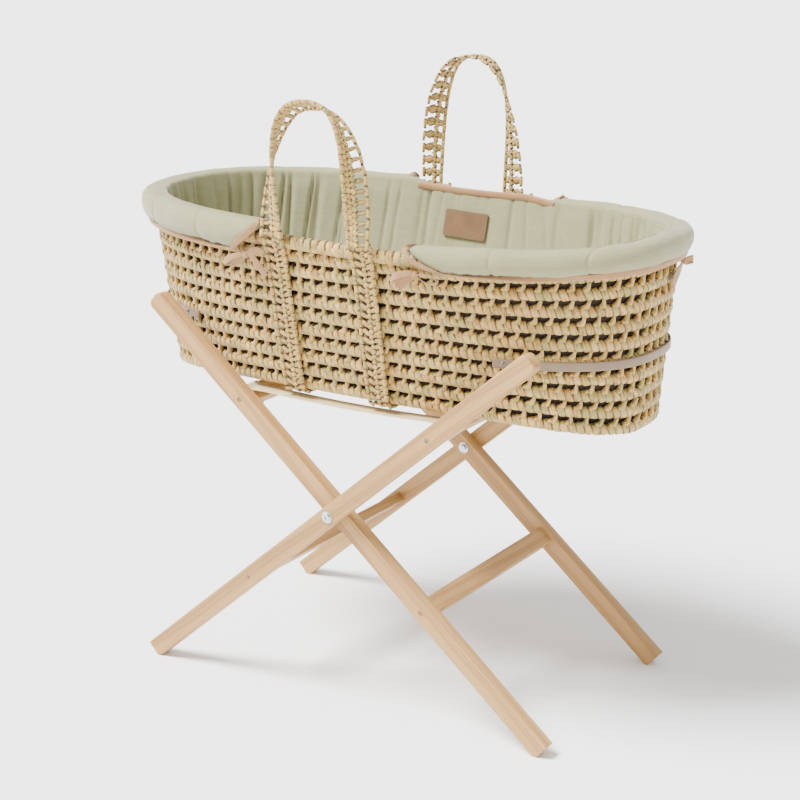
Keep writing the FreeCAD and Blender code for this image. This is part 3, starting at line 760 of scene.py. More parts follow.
def revolved(name, section, count=160):
    # a closed shell from a section of (out, height at x) places, carried round the oval; the first and
    # last places are closed to a pole on the basket's middle line
    loops = [[Vector((p.x, p.y, at(p.x))) for p in ovalLine(at, out, count)] for out, at in section]
    verts = [point for loop in loops for point in loop]
    faces = rungs(len(loops), count)
    for end in (0, len(loops) - 1):
        pole = len(verts)
        verts.append(Vector((0, 0, section[end][1](0))))
        for i in range(count):
            k = (i + 1) % count
            faces.append((end * count + i, end * count + k, pole))
    return outwards(newObject(name, verts, faces))


def raised(amount):
    return lambda x: sagAt(x) + amount


def lowered(amount):
    return lambda x: brimAt(x) - amount


darkWall = revolved("shade_lining", [(-0.100, raised(0.010)), (-0.040, raised(0.010)),
                                     (-0.0128, raised(0.0085)), (-0.0125, raised(0.08)),
                                     (-0.0125, lowered(0.08)), (-0.0125, lowered(0.012)),
                                     (-0.0155, lowered(0.012)), (-0.0155, lowered(0.08)),
                                     (-0.0155, raised(0.08)), (-0.0158, raised(0.0125)),
                                     (-0.040, raised(0.0125)), (-0.100, raised(0.0125))])
darkWall.data.materials.append(leafShade)
weavePieces.append(darkWall)
for piece in weavePieces:
    finishPiece(piece, "basket")
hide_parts("woven_shell")
finishPiece(rimRoll, "basket", node="rim_roll")
print("rim, stitches and base done")

# the open-work of the carry bands and the handles
lattice = {
    "half": 0.0150, "middle": 0.0030, "cordPitch": 0.0125, "edgeSize": (0.0150, 0.0052, 0.0058),
    "plainSize": (0.0158, 0.0058, 0.0066), "middlePitch": 0.0078, "middleSize": (0.0105, 0.0060, 0.0070),
    # for each use: the open column and the dense one, each with pitch, size and lean
    "front": ((0.0140, (0.0058, 0.0042, 0.0150), 0.08), (0.0072, (0.0088, 0.0046, 0.0112), -0.62)),
    "back": ((0.0192, (0.0128, 0.0048, 0.0150), 0.40), (0.0192, (0.0105, 0.0046, 0.0112), -0.25)),
    "band": ((0.0128, (0.0086, 0.0046, 0.0150), 0.35), (0.0092, (0.0078, 0.0046, 0.0112), -0.50)),
}
linkUnit = barrel("linkUnit", [(-0.5, 0.55), (-0.15, 1.0), (0.2, 1.0), (0.5, 0.6)], around=8, flat=0.9)


def latticeBand(name, use, centres, acrosses, outs, seed, swap=False):
    # three wrapped cords side by side, with cross strips between them: one column open, one dense
    side = -1 if swap else 1

    def row(part, place, pitch, size, number, lean=0.0, sink=0.0, spread=(0.06, 0.12, 0.08)):
        run = [c + a * (side * place) - o * sink for c, a, o in zip(centres, acrosses, outs)]
        return repeated(name + part, [run], [outs], linkUnit if "column" in part else cordUnit, pitch, size,
                        seed + number, (0, side * lean, 0), spread, 0.08, closed=False)

    (openPitch, openSize, openLean), (densePitch, denseSize, denseLean) = lattice[use]
    half, middle = lattice["half"], lattice["middle"]
    return joined(name, [
        row("_plain", -half, lattice["cordPitch"], lattice["plainSize"], 0, 0.05, 0.0, (0.02, 0.04, 0.03)),
        row("_edge", half, openPitch, lattice["edgeSize"], 1),
        row("_middle", -middle, lattice["middlePitch"], lattice["middleSize"], 2, 0.5),
        row("_open_column", (half - middle) / 2, openPitch, openSize, 3, openLean, 0.0006),
        row("_dense_column", -(half + middle) / 2, densePitch, denseSize, 4, denseLean, 0.0004)])


bands = {
    "left": {"top": -0.075, "bottom": -0.086}, "right": {"top": 0.070, "bottom": 0.058},
    "off": 0.0030, "offRim": 0.0052, "topAbove": 0.002, "below": 0.0022,
}


def bandPath(drift):
    # down the front wall, under the base and up the back wall
    def wallRun(side):
        run, steps = [], 30
        for i in range(steps + 1):
            share = i / steps
            x = drift["top"] + (drift["bottom"] - drift["top"]) * share
            high, low = brimAt(x) + bands["topAbove"] - footDrop(x) / 2, sagAt(x) + 0.009
            height = high + (low - high) * share
            onRim = clamp((height - (brimAt(x) - 0.028)) / 0.010)
            run.append(wallAtX(x, side, height, bands["off"] + (bands["offRim"] - bands["off"]) * onRim))
        return run

    front, back = wallRun(-1), wallRun(1)
    low = sagAt(drift["bottom"]) - bands["below"]
    corner = [front[-1] + Vector((0, 0.002, -0.006)), Vector((drift["bottom"], front[-1].y + 0.009, low))]
    far = [Vector((p.x, -p.y, p.z)) for p in reversed(corner)]
    flatRun = [Vector((drift["bottom"], y * 0.001, low)) for y in range(-135, 136, 15)]
    return softened(evenly(front + corner + flatRun + far + back[::-1], 240), 3)


for number, side in enumerate(("left", "right")):
    points = bandPath(bands[side])
    outs, acrosses = [], []
    for i in range(len(points)):
        run = runAt(points, i)
        outs.append(run.cross(Vector((1, 0, 0))).normalized())
        acrosses.append(outs[-1].cross(run).normalized())
    band = latticeBand(side + "_band", "band", points, acrosses, outs, 500 + 40 * number, swap=True)
    finishPiece(band, "basket", node=side + "_carry_band")

handles = {
    "foot": 0.6923, "turning": 1.2, "span": 0.072, "fullness": 2.6, "thick": 0.0035, "y": 0.2205,
    "front": {"x": -0.003, "rise": 0.182, "side": -1, "twist": 118},
    "back": {"x": -0.020, "rise": 0.205, "side": 1, "twist": 90},
}


def handleLattice(name, seed):
    facts = handles[name]
    centres, acrosses, outs = [], [], []
    span, rise, side, steps = handles["span"], facts["rise"], facts["side"], 120
    for i in range(steps + 1):
        turn = math.pi * i / steps
        c, s = -math.cos(turn), max(math.sin(turn), 0)
        x = signedPower(c, 2 / handles["fullness"]) * span
        z = s ** (2 / handles["fullness"]) * (rise - handles["thick"])
        outward = Vector((signedPower(x / span, handles["fullness"] - 1) / span, 0,
                          (z / rise) ** (handles["fullness"] - 1) / rise)).normalized()
        twist = math.radians(facts["twist"]) * (z / rise) ** handles["turning"]
        across = outward * math.cos(twist) - Vector((0, side, 0)) * math.sin(twist)
        run = Vector((outward.z, 0, -outward.x))
        centres.append(Vector((facts["x"] + x, side * handles["y"], handles["foot"] + z)))
        acrosses.append(across)
        outs.append(run.cross(across))
    return latticeBand(name + "_handle_weave", name, centres, acrosses, outs, seed)


for number, side in enumerate(("front", "back")):
    finishPiece(handleLattice(side, 700 + 40 * number), side + "_handle", node=side + "_handle")
print("bands and handles done")


def ribbon(name, points, outs, width, thickness, closed=False, widths=None):
    # a flat band with rounded edges: width lies square to both the run and the direction out
    section = []
    for i in range(12):
        turn = 2 * math.pi * (i + 0.5) / 12
        section.append((signedPower(math.cos(turn), 0.35) / 2, signedPower(math.sin(turn), 0.8) / 2))
    verts, count, around = [], len(points), len(section)
    for i, (point, out) in enumerate(zip(points, outs)):
        before = points[i - 1] if i or closed else point
        after = points[(i + 1) % count] if i + 1 < count or closed else point
        run = (after - before).normalized()
        out = (out - run * out.dot(run)).normalized()
        across = run.cross(out)
        scale = widths[i] if widths else 1
        verts += [point + across * (a * width * scale) + out * (b * thickness) for a, b in section]
    faces = rungs(count, around, loop=True) if closed else tube(count, around)
    return outwards(newObject(name, verts, faces))


def turnAt(x, side, height, out):
    # the turn on the oval at which it passes x, in 0..pi at the back and -pi..0 at the front
    halfLength, halfWidth, fullness = ovalAt(height, out)
    return side * math.acos(clamp(signedPower(clamp(x / halfLength, -1), fullness / 2), -1))


def endRun(end, x, height, out, count, backX=None):
    # evenly spaced points of the oval from x at the front, round one end, to x at the back
    heightAt = height if callable(height) else (lambda place: height)
    level = heightAt(0)
    front, back = turnAt(x, -1, level, out), turnAt(backX if backX is not None else x, 1, level, out)
    if end == "head":
        turns = [front - (front + 2 * math.pi - back) * i / 400 for i in range(401)]
    else:
        turns = [front + (back - front) * i / 400 for i in range(401)]
    points = []
    for turn in turns:
        rough = ovalPoint(turn, level, out)
        points.append(ovalPoint(turn, heightAt(rough.x), out))
    return evenly(points, count)


pad = {"pressure": 4.0, "frames": 20, "quality": 4}


def puffed(item, cap, voxel, hold=None):
    # swells a closed pad as cloth under light pressure; hold gives each point's share of the movement
    remesh = item.modifiers.new("voxels", "REMESH")
    remesh.mode, remesh.voxel_size = "VOXEL", voxel
    settle(item)
    rest = [v.co.copy() for v in item.data.vertices]
    cloth = item.modifiers.new("cloth", "CLOTH")
    cloth.settings.use_pressure = True
    cloth.settings.uniform_pressure_force = pad["pressure"]
    cloth.settings.effector_weights.gravity = 0
    cloth.settings.quality = pad["quality"]
    cloth.point_cache.frame_start, cloth.point_cache.frame_end = 1, pad["frames"]
    for frameNumber in range(1, pad["frames"] + 1):
        bpy.context.scene.frame_set(frameNumber)
    graph = bpy.context.evaluated_depsgraph_get()
    moved = [v.co.copy() for v in item.evaluated_get(graph).data.vertices]
    item.modifiers.clear()
    bpy.context.scene.frame_set(1)
    for vertex, start, end in zip(item.data.vertices, rest, moved):
        step = end - start
        limit = cap * (hold(start) if hold else 1)
        if step.length > limit:
            step = step.normalized() * limit
        vertex.co = start + step
    smoother = item.modifiers.new("smooth", "SUBSURF")
    smoother.levels = smoother.render_levels = 1
    settle(item)
    item.data.polygons.foreach_set("use_smooth", [True] * len(item.data.polygons))
    return item


def reshaped(item, move):
    item.data.update()
    normals = [v.normal.copy() for v in item.data.vertices]
    for vertex, normal in zip(item.data.vertices, normals):
        vertex.co += move(vertex.co.copy(), normal)
    item.data.update()
    return item


def near(distance, width):
    return math.exp(-(distance / width) ** 2)


liner = {
    "outer": -0.0166, "inner": -0.0232, "low": 0.476, "backTop": 0.6985, "frontTop": 0.6815,
    "seamStep": 0.146, "seamFirst": -0.076, "seamDepth": 0.0032, "seamWidth": 0.0028,
    "fold": 0.0050, "billow": 0.0042, "foldEvery": 0.021, "opening": (-0.105, 0.150), "dip": 0.004,
    "curl": 0.0075, "turned": (0.45, 0.85, 1.2, 1.5), "backDrop": (0.09, 0.15),
}
patch = {"x": -0.0055, "z": 0.645, "length": 0.075, "height": 0.040, "tilt": -2, "corner": 0.003}


def openShare(x):
    # 1 in the middle of the opening between the two cuffs, 0 under the cuffs
    low, high = liner["opening"]
    return clamp((x - low) / 0.03) * clamp((high - x) / 0.03)


def linerTop(point):
    (low, high), (start, end) = liner["opening"], liner["backDrop"]
    past = 1 if point.y < 0 else clamp((point.x - start) / (end - start))
    top = liner["backTop"] + (brimAt(point.x) - basket["top"]) - footDrop(point.x) * past
    if point.y < 0:
        return top + (liner["frontTop"] - liner["backTop"]) * openShare(point.x)
    return top - liner["dip"] * openShare(point.x) * math.sin(math.pi * (point.x - low) / (high - low))


def linerFold(point, reach, share):
    # how far the cloth stands in from its smooth line: gathers that fan out below the cuff
    along = reach / liner["foldEvery"]
    lean = 0.9 * math.sin(3.1 * point.x / basket["rimHalfLength"])
    spot = Vector((along + lean * (1 - share), 0.5 * share, 7.3))
    crease = 1 - abs(2 * noise.noise(spot)) * 1.9
    soft = noise.noise(Vector((along * 0.37, share * 1.4, 3.1)))
    ends = min(1, 0.25 + 1.1 * abs(point.x / basket["rimHalfLength"]) ** 1.5)
    if point.x < 0:
        ends = min(1.15, ends * 1.25)
    calm = 1.0
    if point.y > 0:
        aside = max(abs(point.x - patch["x"]) - patch["length"] / 2, 0) + max(
            abs(point.z - patch["z"]) - patch["height"] / 2, 0)
        calm = min(1, aside / 0.02)
    gather = 0.35 + 0.65 * min(1, share * 1.25)
    valley = max(crease, 0.0)
    rise = min(1, share * 5)
    amount = liner["fold"] * ends * gather * valley ** 3
    billow = liner["billow"] * ends * rise * (0.5 + 0.5 * gather) * (1 - valley) ** 0.7
    seam = 0.0
    if abs(point.x) < 0.37:
        place = (point.x - liner["seamFirst"]) / liner["seamStep"]
        away = abs(place - round(place)) * liner["seamStep"]
        seam = (liner["seamDepth"] * near(away, liner["seamWidth"])
                + 0.0012 * near(away, 4 * liner["seamWidth"]))
    return calm * (0.0022 * rise * soft + billow - 0.8 * amount) - seam


def linerShell():
    count, levels = 760, 30
    flat = ovalLine(lambda x: 0.6, liner["inner"], count)
    halfLength, halfWidth, fullness = ovalAt(0.6, liner["inner"])
    power = fullness / 2
    turns = [math.atan2(signedPower(p.y / halfWidth, power), signedPower(p.x / halfLength, power))
             for p in flat]
    reach = reaches(flat)
    tops = [linerTop(ovalPoint(turn, 0.69, liner["inner"])) for turn in turns]
    verts = []
    for j in range(levels + 1):
        share = j / levels
        for turn, top, s in zip(turns, tops, reach):
            height = liner["low"] + (top - liner["low"]) * share
            point = ovalPoint(turn, height, liner["inner"])
            inward = linerFold(point, s, share) * min(1, (1 - share) * 10 + 0.25)
            verts.append(point - wallOut(point) * inward)
    # under the cuffs the cloth turns over the rim, and the cuff carries on from there
    for bend in liner["turned"]:
        for turn, top, s in zip(turns, tops, reach):
            point = ovalPoint(turn, top, liner["inner"])
            curl = liner["curl"] * (1 - openShare(point.x)) + 0.0006
            inward = linerFold(point, s, 1) * 0.25 * math.cos(bend)
            verts.append(point + wallOut(point) * (curl * (1 - math.cos(bend)) - inward)
                         + Vector((0, 0, curl * math.sin(bend))))
    for j in range(levels + 1):
        share = 1 - j / levels
        for turn, top in zip(turns, tops):
            height = liner["low"] + (top - liner["low"]) * share
            verts.append(ovalPoint(turn, height, liner["outer"]))
    return outwards(newObject("liner_lining", verts, rungs(len(verts) // count, count, loop=True)))


lining = finishPiece(linerShell(), "basket", sage, "liner_wall")
print("liner done")

# the cuffs roll over the rim at both ends; a section's places are (out, height) on a level rim
cuff = {
    "section": [(-0.0180, 0.6970), (-0.0195, 0.6995), (-0.0185, 0.7022), (-0.0145, 0.7045),
                (-0.0060, 0.7062),
                (0.0040, 0.7050), (0.0105, 0.7000), (0.0140, 0.6915), (0.0150, 0.6820), (0.0138, 0.6730),
                (0.0105, 0.6655), (0.0068, 0.6615)],
    "inside": [(0.0030, 0.6640), (0.0030, 0.6780), (0.0028, 0.6912), (-0.0060, 0.6920), (-0.0150, 0.6925),
               (-0.0180, 0.6955)],
    "low": {"head": -0.150, "foot": 0.188}, "high": {"head": -0.097, "foot": 0.140},
    "backLow": {"head": -0.160, "foot": 0.188}, "backHigh": {"head": -0.119, "foot": 0.140},
    "seams": {"head": [-0.33, -0.215], "foot": [0.255, 0.368]}, "steps": 110,
    "voxel": 0.0042, "cap": 0.006,
}


def cuffLimit(end, side, height):
    low, high = ("low", "high") if side < 0 else ("backLow", "backHigh")
    share = clamp((height - 0.662) / 0.037)
    return cuff[low][end] + (cuff[high][end] - cuff[low][end]) * share


def cuffLift(x, height):
    # how far a row of the cuff's section stands above its height on a level rim
    return brimAt(x) - basket["top"] - footDrop(x) * clamp((height - 0.6615) / 0.030)


def cuffShell(end):
    section = cuff["section"] + cuff["inside"]
    count, verts = cuff["steps"], []
    for out, height in section:
        lift = lambda x, height=height: height + cuffLift(x, height)
        verts += endRun(end, cuffLimit(end, -1, height), lift, out, count, cuffLimit(end, 1, height))
    faces = rungs(len(section), count, closed=False, loop=True)
    for first in (0, count - 1):
        faces.append(tuple(first + j * count for j in range(len(section))))
    return outwards(newObject(end + "_cuff_pad", verts, faces))


def cuffHold(point):
    # the side that lies on the rim stays; the outside swells, least along the bound edge
    out = (ovalShare(point) - 1) * ovalAt(point.z)[1]
    if point.z < 0.694 + (brimAt(point.x) - basket["top"]) and -0.024 < out < 0.006:
        return 0.0
    return clamp((point.z - 0.664) / 0.012, 0.15) * clamp((out + 0.016) / 0.008)


def cuffMove(end):
    def move(point, normal):
        groove = sum(0.0018 * near(point.x - x, 0.0018) + 0.0004 * near(point.x - x, 0.008)
                     for x in cuff["seams"][end])
        edge = near(point.z - 0.664, 0.009)
        gather = noise.noise(Vector((point.x * 105, point.y * 105, 1.0)))
        broad = noise.noise(Vector((point.x * 13, point.y * 13, point.z * 26)))
        pull = noise.noise(Vector((point.x * 34, point.y * 34, point.z * 9)))
        return normal * (-groove + 0.0011 * edge * gather + 0.0016 * broad + 0.0010 * pull)
    return move


for end in ("head", "foot"):
    piece = puffed(cuffShell(end), cuff["cap"], cuff["voxel"], cuffHold)
    reshaped(piece, cuffMove(end))
    finishPiece(piece, "basket", sage, end + "_cuff")
print("cuffs done")

# the bound edges of the cuffs, and of the liner at both openings
edging = {
    "width": 0.0090, "thick": 0.0030, "out": 0.0078, "height": 0.6612, "proud": 0.0012, "tuck": 0.22,
    "close": 0.0015, "openingWidth": 0.0105, "openingThick": 0.0098, "openingInset": 0.006,
    "openingSink": 0.0025,
}


def cuffEdging(end):
    lift = lambda x: edging["height"] + brimAt(x) - basket["top"]
    run = endRun(end, cuff["low"][end], lift, edging["out"], 150, cuff["backLow"][end])

    def slant(side):
        # up the cuff's end, over the bulge of its section to the inside
        points, normals = [], []
        outline = cuff["section"][::-1][1:-1]
        for i, (out, height) in enumerate(outline):
            below = outline[i - 1] if i else cuff["section"][-1]
            above = outline[i + 1] if i + 1 < len(outline) else cuff["section"][0]
            x = cuffLimit(end, side, height) + (edging["close"] if end == "foot" else -edging["close"])
            level = wallOut(wallAtX(x, side, height))
            normal = (level * (above[1] - below[1]) - Vector((0, 0, 1)) * (above[0] - below[0])).normalized()
            lift = cuffLift(x, height)
            points.append(wallAtX(x, side, height, out) + Vector((0, 0, lift)) + normal * edging["proud"])
            normals.append(normal)
        return points, normals

    (front, frontOuts), (back, backOuts) = slant(-1), slant(1)
    rough = front[::-1] + run + back
    tucked = [(out - Vector((0, 0, edging["tuck"]))).normalized() for out in wallOuts(run)]
    directions = frontOuts[::-1] + tucked + backOuts
    points = softened(evenly(rough, 260), 2)
    outs = softened(evenly([p + d for p, d in zip(rough, directions)], 260), 2)
    outs = [(far - point).normalized() for far, point in zip(outs, points)]
    piece = ribbon(end + "_cuff_edging", points, outs, edging["width"], edging["thick"])
    return reshaped(piece, lambda p, n: n * 0.0006 * noise.noise(p * 60))


def openingEdging(name, side):
    (low, high), inset = liner["opening"], edging["openingInset"]
    points, steps = [], 60
    for i in range(steps + 1):
        x = low + inset + (high - low - 2 * inset) * i / steps
        base = wallAtX(x, side, 0.69, (liner["inner"] + liner["outer"]) / 2)
        points.append(Vector((base.x, base.y, linerTop(base) - edging["openingSink"])))
    return ribbon(name + "_opening_edging", points, wallOuts(points), edging["openingWidth"],
                  edging["openingThick"])


for end in ("head", "foot"):
    finishPiece(cuffEdging(end), "basket", binding, end + "_cuff_binding")
for name, side in (("front", -1), ("back", 1)):
    finishPiece(openingEdging(name, side), "basket", binding, name + "_opening_binding")

bowShape = {"width": 0.0088, "thick": 0.0016, "knot": (0.0085, 0.0080, 0.0110), "knotOut": 0.002}


def smoothRun(points, count):
    # a rounded line through a few points
    ends = [2 * points[0] - points[1]] + points + [2 * points[-1] - points[-2]]
    run = []
    for i in range(1, len(ends) - 2):
        a, b, c, d = ends[i - 1:i + 3]
        for k in range(12):
            t = k / 12
            run.append(0.5 * (2 * b + (c - a) * t + (2 * a - 5 * b + 4 * c - d) * t * t
                              + (3 * b - a - 3 * c + d) * t ** 3))
    return evenly(run + [points[-1]], count)


def ontoWall(point, stand):
    # the point moved across to the wall, standing off it by the given distance
    share = ovalShare(point, stand)
    return Vector((point.x / share, point.y / share, point.z))


def bow(name, x, side, height, stand, loops, tails, rings=()):
    # rows of (along, up, out) in millimetres from the knot; a loop shows its flat side, a ring its edge
    centre = wallAtX(x, side, height, stand)
    out = wallOut(centre)
    along = Vector((-out.y, out.x, 0)) * (1 if side < 0 else -1) * (1 if out.y < 0 else -1)
    if abs(out.x) > 0.8:
        along = Vector((0, 1, 0)) - out * out.y
    along.normalize()
    upward = Vector((0, 0, 1))

    def placed(row):
        return [ontoWall(centre + (along * a + upward * u) * 0.001, stand + o * 0.001) for a, u, o in row]

    pieces = []
    for number, row in enumerate(list(loops) + list(rings)):
        points = smoothRun(placed(row), 40)
        broad = upward if number < len(loops) else (out + upward * 0.35).normalized()
        runs = [runAt(points, i) for i in range(40)]
        normals = [(broad - run * broad.dot(run)).cross(run).normalized() for run in runs]
        pieces.append(ribbon("%s_loop%d" % (name, number), points, normals, bowShape["width"],
                             bowShape["thick"],
                             widths=[0.62 + 0.5 * math.sin(math.pi * i / 39) for i in range(40)]))
    for number, row in enumerate(tails):
        points = smoothRun(placed(row), 28)
        pieces.append(ribbon("%s_tail%d" % (name, number), points, wallOuts(points), bowShape["width"],
                             bowShape["thick"], widths=[0.55 + 0.6 * min(1, i / 10) for i in range(28)]))
    knot = barrel(name + "_knot", [(-0.5, 0.75), (-0.2, 1.0), (0.2, 1.0), (0.5, 0.75)], around=10)
    knot.data.transform(Matrix((along, out, -upward)).transposed().to_4x4()
                        @ Matrix.Diagonal((*bowShape["knot"], 1)))
    knot.data.transform(Matrix.Translation(centre + out * bowShape["knotOut"]))
    pieces.append(outwards(knot))
    for piece in pieces:
        for layer in list(piece.data.uv_layers):
            piece.data.uv_layers.remove(layer)
    return reshaped(joined(name, pieces), lambda p, n: n * 0.0005 * noise.noise(p * 150))


leftLoop = [(0, 0, 2), (-9, -1, 6), (-22, -8, 9), (-31, -15, 7), (-27, -13, 2), (-13, -4, 1), (0, 0, 2)]
rightLoop = [(0, 0, 2), (8, 0, 7), (17, -4, 10), (25, -9, 7), (22, -8, 2), (10, -2, 1), (0, 0, 2)]
# for each bow: x, side, height and stand of the knot, then its loops, its tails and its rings
bows = {
    "front_head_bow": (
        -0.123, -1, 0.657, 0.0102,
        [[(0, 0, 2), (-12, -2, 5), (-30, -9, 6), (-45, -17, 4), (-38, -15, 1), (-16, -5, 1), (0, 0, 2)]],
        [[(0, 0, 2), (-12, -8, 2), (-26, -15, 1), (-37, -19, 1)],
         [(0, 0, 2), (8, 3, 3), (14, -4, 3), (20, -17, 2), (25, -29, 1)],
         [(0, 0, 1), (12, 6, 2), (22, 8, 0), (30, 4, -1)]]),
    "front_foot_bow": (
        0.153, -1, 0.660, 0.0102,
        [[(0, 0, 2), (-10, 2, 5), (-24, -1, 6), (-34, -7, 4), (-26, -8, 1), (-10, -2, 1), (0, 0, 2)]],
        [[(0, 0, 2), (-10, -7, 2), (-19, -14, 1), (-27, -23, 1)],
         [(0, 0, 2), (-14, -3, 3), (-28, -9, 2), (-38, -12, 1)]],
        [[(0, 0, 3), (9, 2, 5), (20, 1, 6), (29, -5, 5), (24, -11, 4), (12, -9, 3), (2, -2, 2)]]),
    "back_head_bow": (
        -0.123, 1, 0.655, 0.0102, [leftLoop, rightLoop],
        [[(0, 0, 2), (-9, -8, 2), (-16, -20, 1), (-20, -33, 1)],
         [(0, 0, 2), (8, -9, 2), (15, -20, 1), (24, -30, 1)]]),
    "back_foot_bow": (
        0.155, 1, 0.655, 0.0102, [leftLoop, rightLoop],
        [[(0, 0, 2), (-8, -9, 2), (-17, -19, 1), (-26, -28, 1)],
         [(0, 0, 2), (9, -8, 2), (14, -20, 1), (17, -34, 1)]]),
    "foot_end_bow": (
        0.4085, 1, 0.659, 0.0040,
        [[(0, 0, 2), (8, 1, 7), (17, 0, 12), (24, -4, 11), (20, -6, 5), (9, -3, 2), (0, 0, 2)]],
        [[(0, 0, 1), (-12, -5, 1), (-26, -13, 0), (-40, -24, 0)],
         [(0, 0, 1), (-8, -8, 1), (-22, -20, 0), (-34, -32, 0)]]),
}
for name, facts in bows.items():
    finishPiece(bow(name + "_ribbon", *facts), "basket", binding, name)
print("bindings and bows done")


def patchPlate():
    # a blank sewn patch on the liner's inner face
    half = Vector((patch["length"] / 2, patch["height"] / 2))
    corner, outline = patch["corner"], []
    for cx, cz, start in ((1, -1, -90), (1, 1, 0), (-1, 1, 90), (-1, -1, 180)):
        for k in range(5):
            turn = math.radians(start + 90 * k / 4)
            outline.append((cx * (half.x - corner) + corner * math.cos(turn),
                            cz * (half.y - corner) + corner * math.sin(turn)))
    verts, layers = [], [(0.0252, 1.0), (0.0264, 1.0), (0.0269, 0.988)]
    tilt = math.radians(patch["tilt"])
    for depth, scale in layers:
        for a, b in outline:
            x = patch["x"] + (a * math.cos(tilt) - b * math.sin(tilt)) * scale
            z = patch["z"] + (a * math.sin(tilt) + b * math.cos(tilt)) * scale
            verts.append(wallAtX(x, 1, z, -depth))
    return outwards(newObject("patch_plate", verts, tube(len(layers), len(outline)), smooth=False))


finishPiece(patchPlate(), "basket", patchLeather, "liner_patch")

endBand = {"height": 0.541, "width": 0.0125, "thick": 0.0026, "out": 0.0010, "head": -0.262, "foot": 0.240,
           "studs": {"head": -0.291, "foot": 0.254}, "studRadius": 0.0040, "studHeight": 0.0022}


def dome(centre, out, radius, height):
    along = Vector((-out.y, out.x, 0))
    upward = Vector((0, 0, 1))
    verts, around = [], 16
    rings = [(1.0, -0.3), (1.0, 0.25), (0.86, 0.62), (0.6, 0.86), (0.3, 0.97)]
    for scale, rise in rings:
        for i in range(around):
            turn = 2 * math.pi * i / around
            verts.append(centre + (along * math.cos(turn) + upward * math.sin(turn)) * radius * scale
                         + out * height * rise)
    return outwards(newObject("stud", verts, tube(len(rings), around)))


for end in ("head", "foot"):
    run = endRun(end, endBand[end], endBand["height"], endBand["out"], 170)
    widths = [min(1, 0.80 + 0.2 * min(i, 169 - i)) for i in range(170)]
    band = ribbon(end + "_band_strip", run, wallOuts(run), endBand["width"], endBand["thick"], widths=widths)
    finishPiece(band, "basket", taupe, end + "_end_band")
    studs = []
    for side in (-1, 1):
        out = endBand["out"] + endBand["thick"] / 2
        place = wallAtX(endBand["studs"][end], side, endBand["height"], out)
        studs.append(dome(place, wallOut(place), endBand["studRadius"], endBand["studHeight"]))
    finishPiece(joined(end + "_band_rivets", studs), "basket", agedMetal, end + "_band_studs")

bedding = {"low": 0.4765, "high": 0.5100, "out": -0.0275, "ease": 0.007, "pipe": 0.0036, "pipeIn": 0.0045,
           "voxel": 0.006, "cap": 0.003}


def mattressForm():
    low, high, out, ease = bedding["low"], bedding["high"], bedding["out"], bedding["ease"]
    rows = [(out - ease, low), (out - 0.002, low + 0.002), (out, low + ease), (out, high - ease),
            (out - 0.002, high - 0.002), (out - ease, high)]
    section = [(out - 0.075, low)] + rows + [(out - 0.075, high)]
    return revolved("mattress_pad", [(o, lambda x, z=z: z) for o, z in section], 150)


mattress = puffed(mattressForm(), bedding["cap"], bedding["voxel"])
reshaped(mattress, lambda p, n: n * (0.0016 * noise.noise(p * 14) - 0.0008 + 0.0005 * noise.noise(p * 45)))
finishPiece(mattress, "basket", white, "mattress_cover")
for name, height in (("lower_piping", bedding["low"] + bedding["pipeIn"]),
                     ("upper_piping", bedding["high"] - bedding["pipeIn"])):
    run = ovalLine(lambda x, height=height: height, bedding["out"] + 0.0005, 220)
    pipe = ribbon("mattress_" + name, run, wallOuts(run), bedding["pipe"], bedding["pipe"], closed=True)
    finishPiece(pipe, "basket", white)

straps = {"y": 0.149, "width": 0.030, "thick": 0.0013, "height": 0.4446, "sag": 0.0035,
          "rail": (0.1669, 0.4335), "along": 0.0150, "across": 0.0090}


def strapPiece(name, y):
    # over the inner rail, across to the outer rail, and down round the outer side of each
    c, s = math.cos(leanAngle), math.sin(leanAngle)

    def corner(along, across):
        return Vector((straps["rail"][0] + along * c - across * s, y,
                       straps["rail"][1] + along * s + across * c))

    a, b = straps["along"], straps["across"]
    outer = [corner(a, b), corner(a, -b), corner(-a, -b)]
    half = [Vector((x * 0.01, y, straps["height"] - straps["sag"] * (1 - (x / 14) ** 2)))
            for x in range(15)]
    half[-1] = Vector((0.140, y, straps["height"] - 0.0002))
    right = half + [corner(a - 0.010, b)] + outer
    left = [Vector((-p.x, p.y, p.z)) for p in right[1:]]
    points = softened(evenly(left[::-1] + right, 260), 2)
    outs = [Vector((0, 1, 0)).cross(runAt(points, i)).normalized() for i in range(len(points))]
    return ribbon(name, points, outs, straps["width"], straps["thick"])


for name, side in (("front", -1), ("back", 1)):
    strap = strapPiece("webbing_" + name, side * straps["y"])
    strap.data.materials.append(cream)
    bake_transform(strap)
    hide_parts("webbing_strap_" + name)
for unit in (wrapUnit, rollUnit, cordUnit, linkUnit, finUnit):
    bpy.data.objects.remove(unit)
print("trim and webbing done")

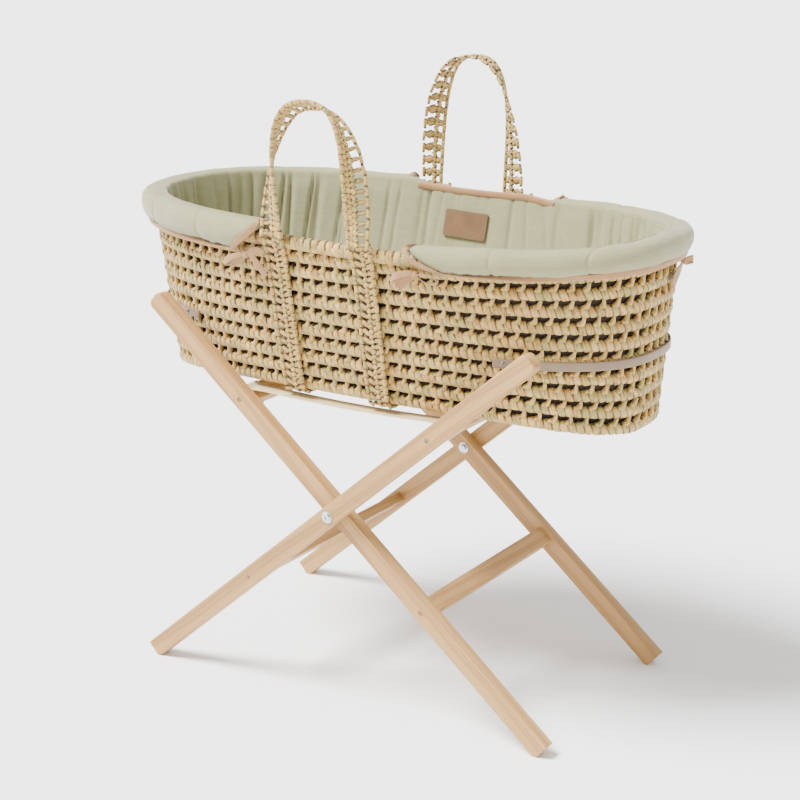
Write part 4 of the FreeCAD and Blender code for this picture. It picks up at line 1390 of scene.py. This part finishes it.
# floor, light and camera
studio = {
    "floor": (0.92, 0.92, 0.92), "reach": 60, "worldStrength": 1.2, "keyPower": 11.8, "keySoftness": 24,
    "keyFrom": (-0.9, -0.85, 2.0), "fillPower": 6.0,
}
floorPaint, floorTree, floorShader = shaderTree("floorPaint")
floorShader.inputs["Base Color"].default_value = (*studio["floor"], 1)
floorShader.inputs["Roughness"].default_value = 0.9
reach = studio["reach"]
floor = newObject("floor", [(-reach, -reach, 0), (reach, -reach, 0), (reach, reach, 0), (-reach, reach, 0)],
                  [(0, 1, 2, 3)])
floor.data.materials.append(floorPaint)

world = bpy.data.worlds.new("studioWorld")
world.use_nodes = True
world.node_tree.nodes["Background"].inputs[0].default_value = (1, 1, 1, 1)
world.node_tree.nodes["Background"].inputs[1].default_value = studio["worldStrength"]
bpy.context.scene.world = world


def softbox(name, place, target, size, power):
    light = bpy.data.lights.new(name, "AREA")
    light.shape, light.size, light.energy = "SQUARE", size, power
    item = bpy.data.objects.new(name, light)
    item.location = place
    item.rotation_euler = (Vector(target) - Vector(place)).to_track_quat("-Z", "Y").to_euler()
    bpy.context.scene.collection.objects.link(item)


key = bpy.data.lights.new("keyLight", "SUN")
key.energy, key.angle = studio["keyPower"], math.radians(studio["keySoftness"])
keyLight = bpy.data.objects.new("keyLight", key)
keyLight.rotation_euler = Vector(studio["keyFrom"]).to_track_quat("Z", "Y").to_euler()
bpy.context.scene.collection.objects.link(keyLight)
softbox("fillLight", (2.6, -0.8, 1.8), (0, 0, 0.5), 2.0, studio["fillPower"])

camera = {
    "place": (1.3921, -2.1340, 1.1747), "yaw": -33.327, "pitch": 16.664, "roll": -0.410, "lens": 80.79,
}
yaw, pitch, roll = (math.radians(camera[key]) for key in ("yaw", "pitch", "roll"))
ahead = Vector((math.sin(yaw) * math.cos(pitch), math.cos(yaw) * math.cos(pitch), -math.sin(pitch)))
level = Vector((math.cos(yaw), -math.sin(yaw), 0))
above = level.cross(ahead)
right = math.cos(roll) * level + math.sin(roll) * above
up = -math.sin(roll) * level + math.cos(roll) * above
lens = bpy.data.cameras.new("camera")
lens.lens, lens.sensor_width = camera["lens"], 36.0
view = bpy.data.objects.new("camera", lens)
bpy.context.scene.collection.objects.link(view)
view.matrix_world = Matrix((
    (right.x, up.x, -ahead.x, camera["place"][0]), (right.y, up.y, -ahead.y, camera["place"][1]),
    (right.z, up.z, -ahead.z, camera["place"][2]), (0, 0, 0, 1)))
bpy.context.scene.camera = view

print("stage done")
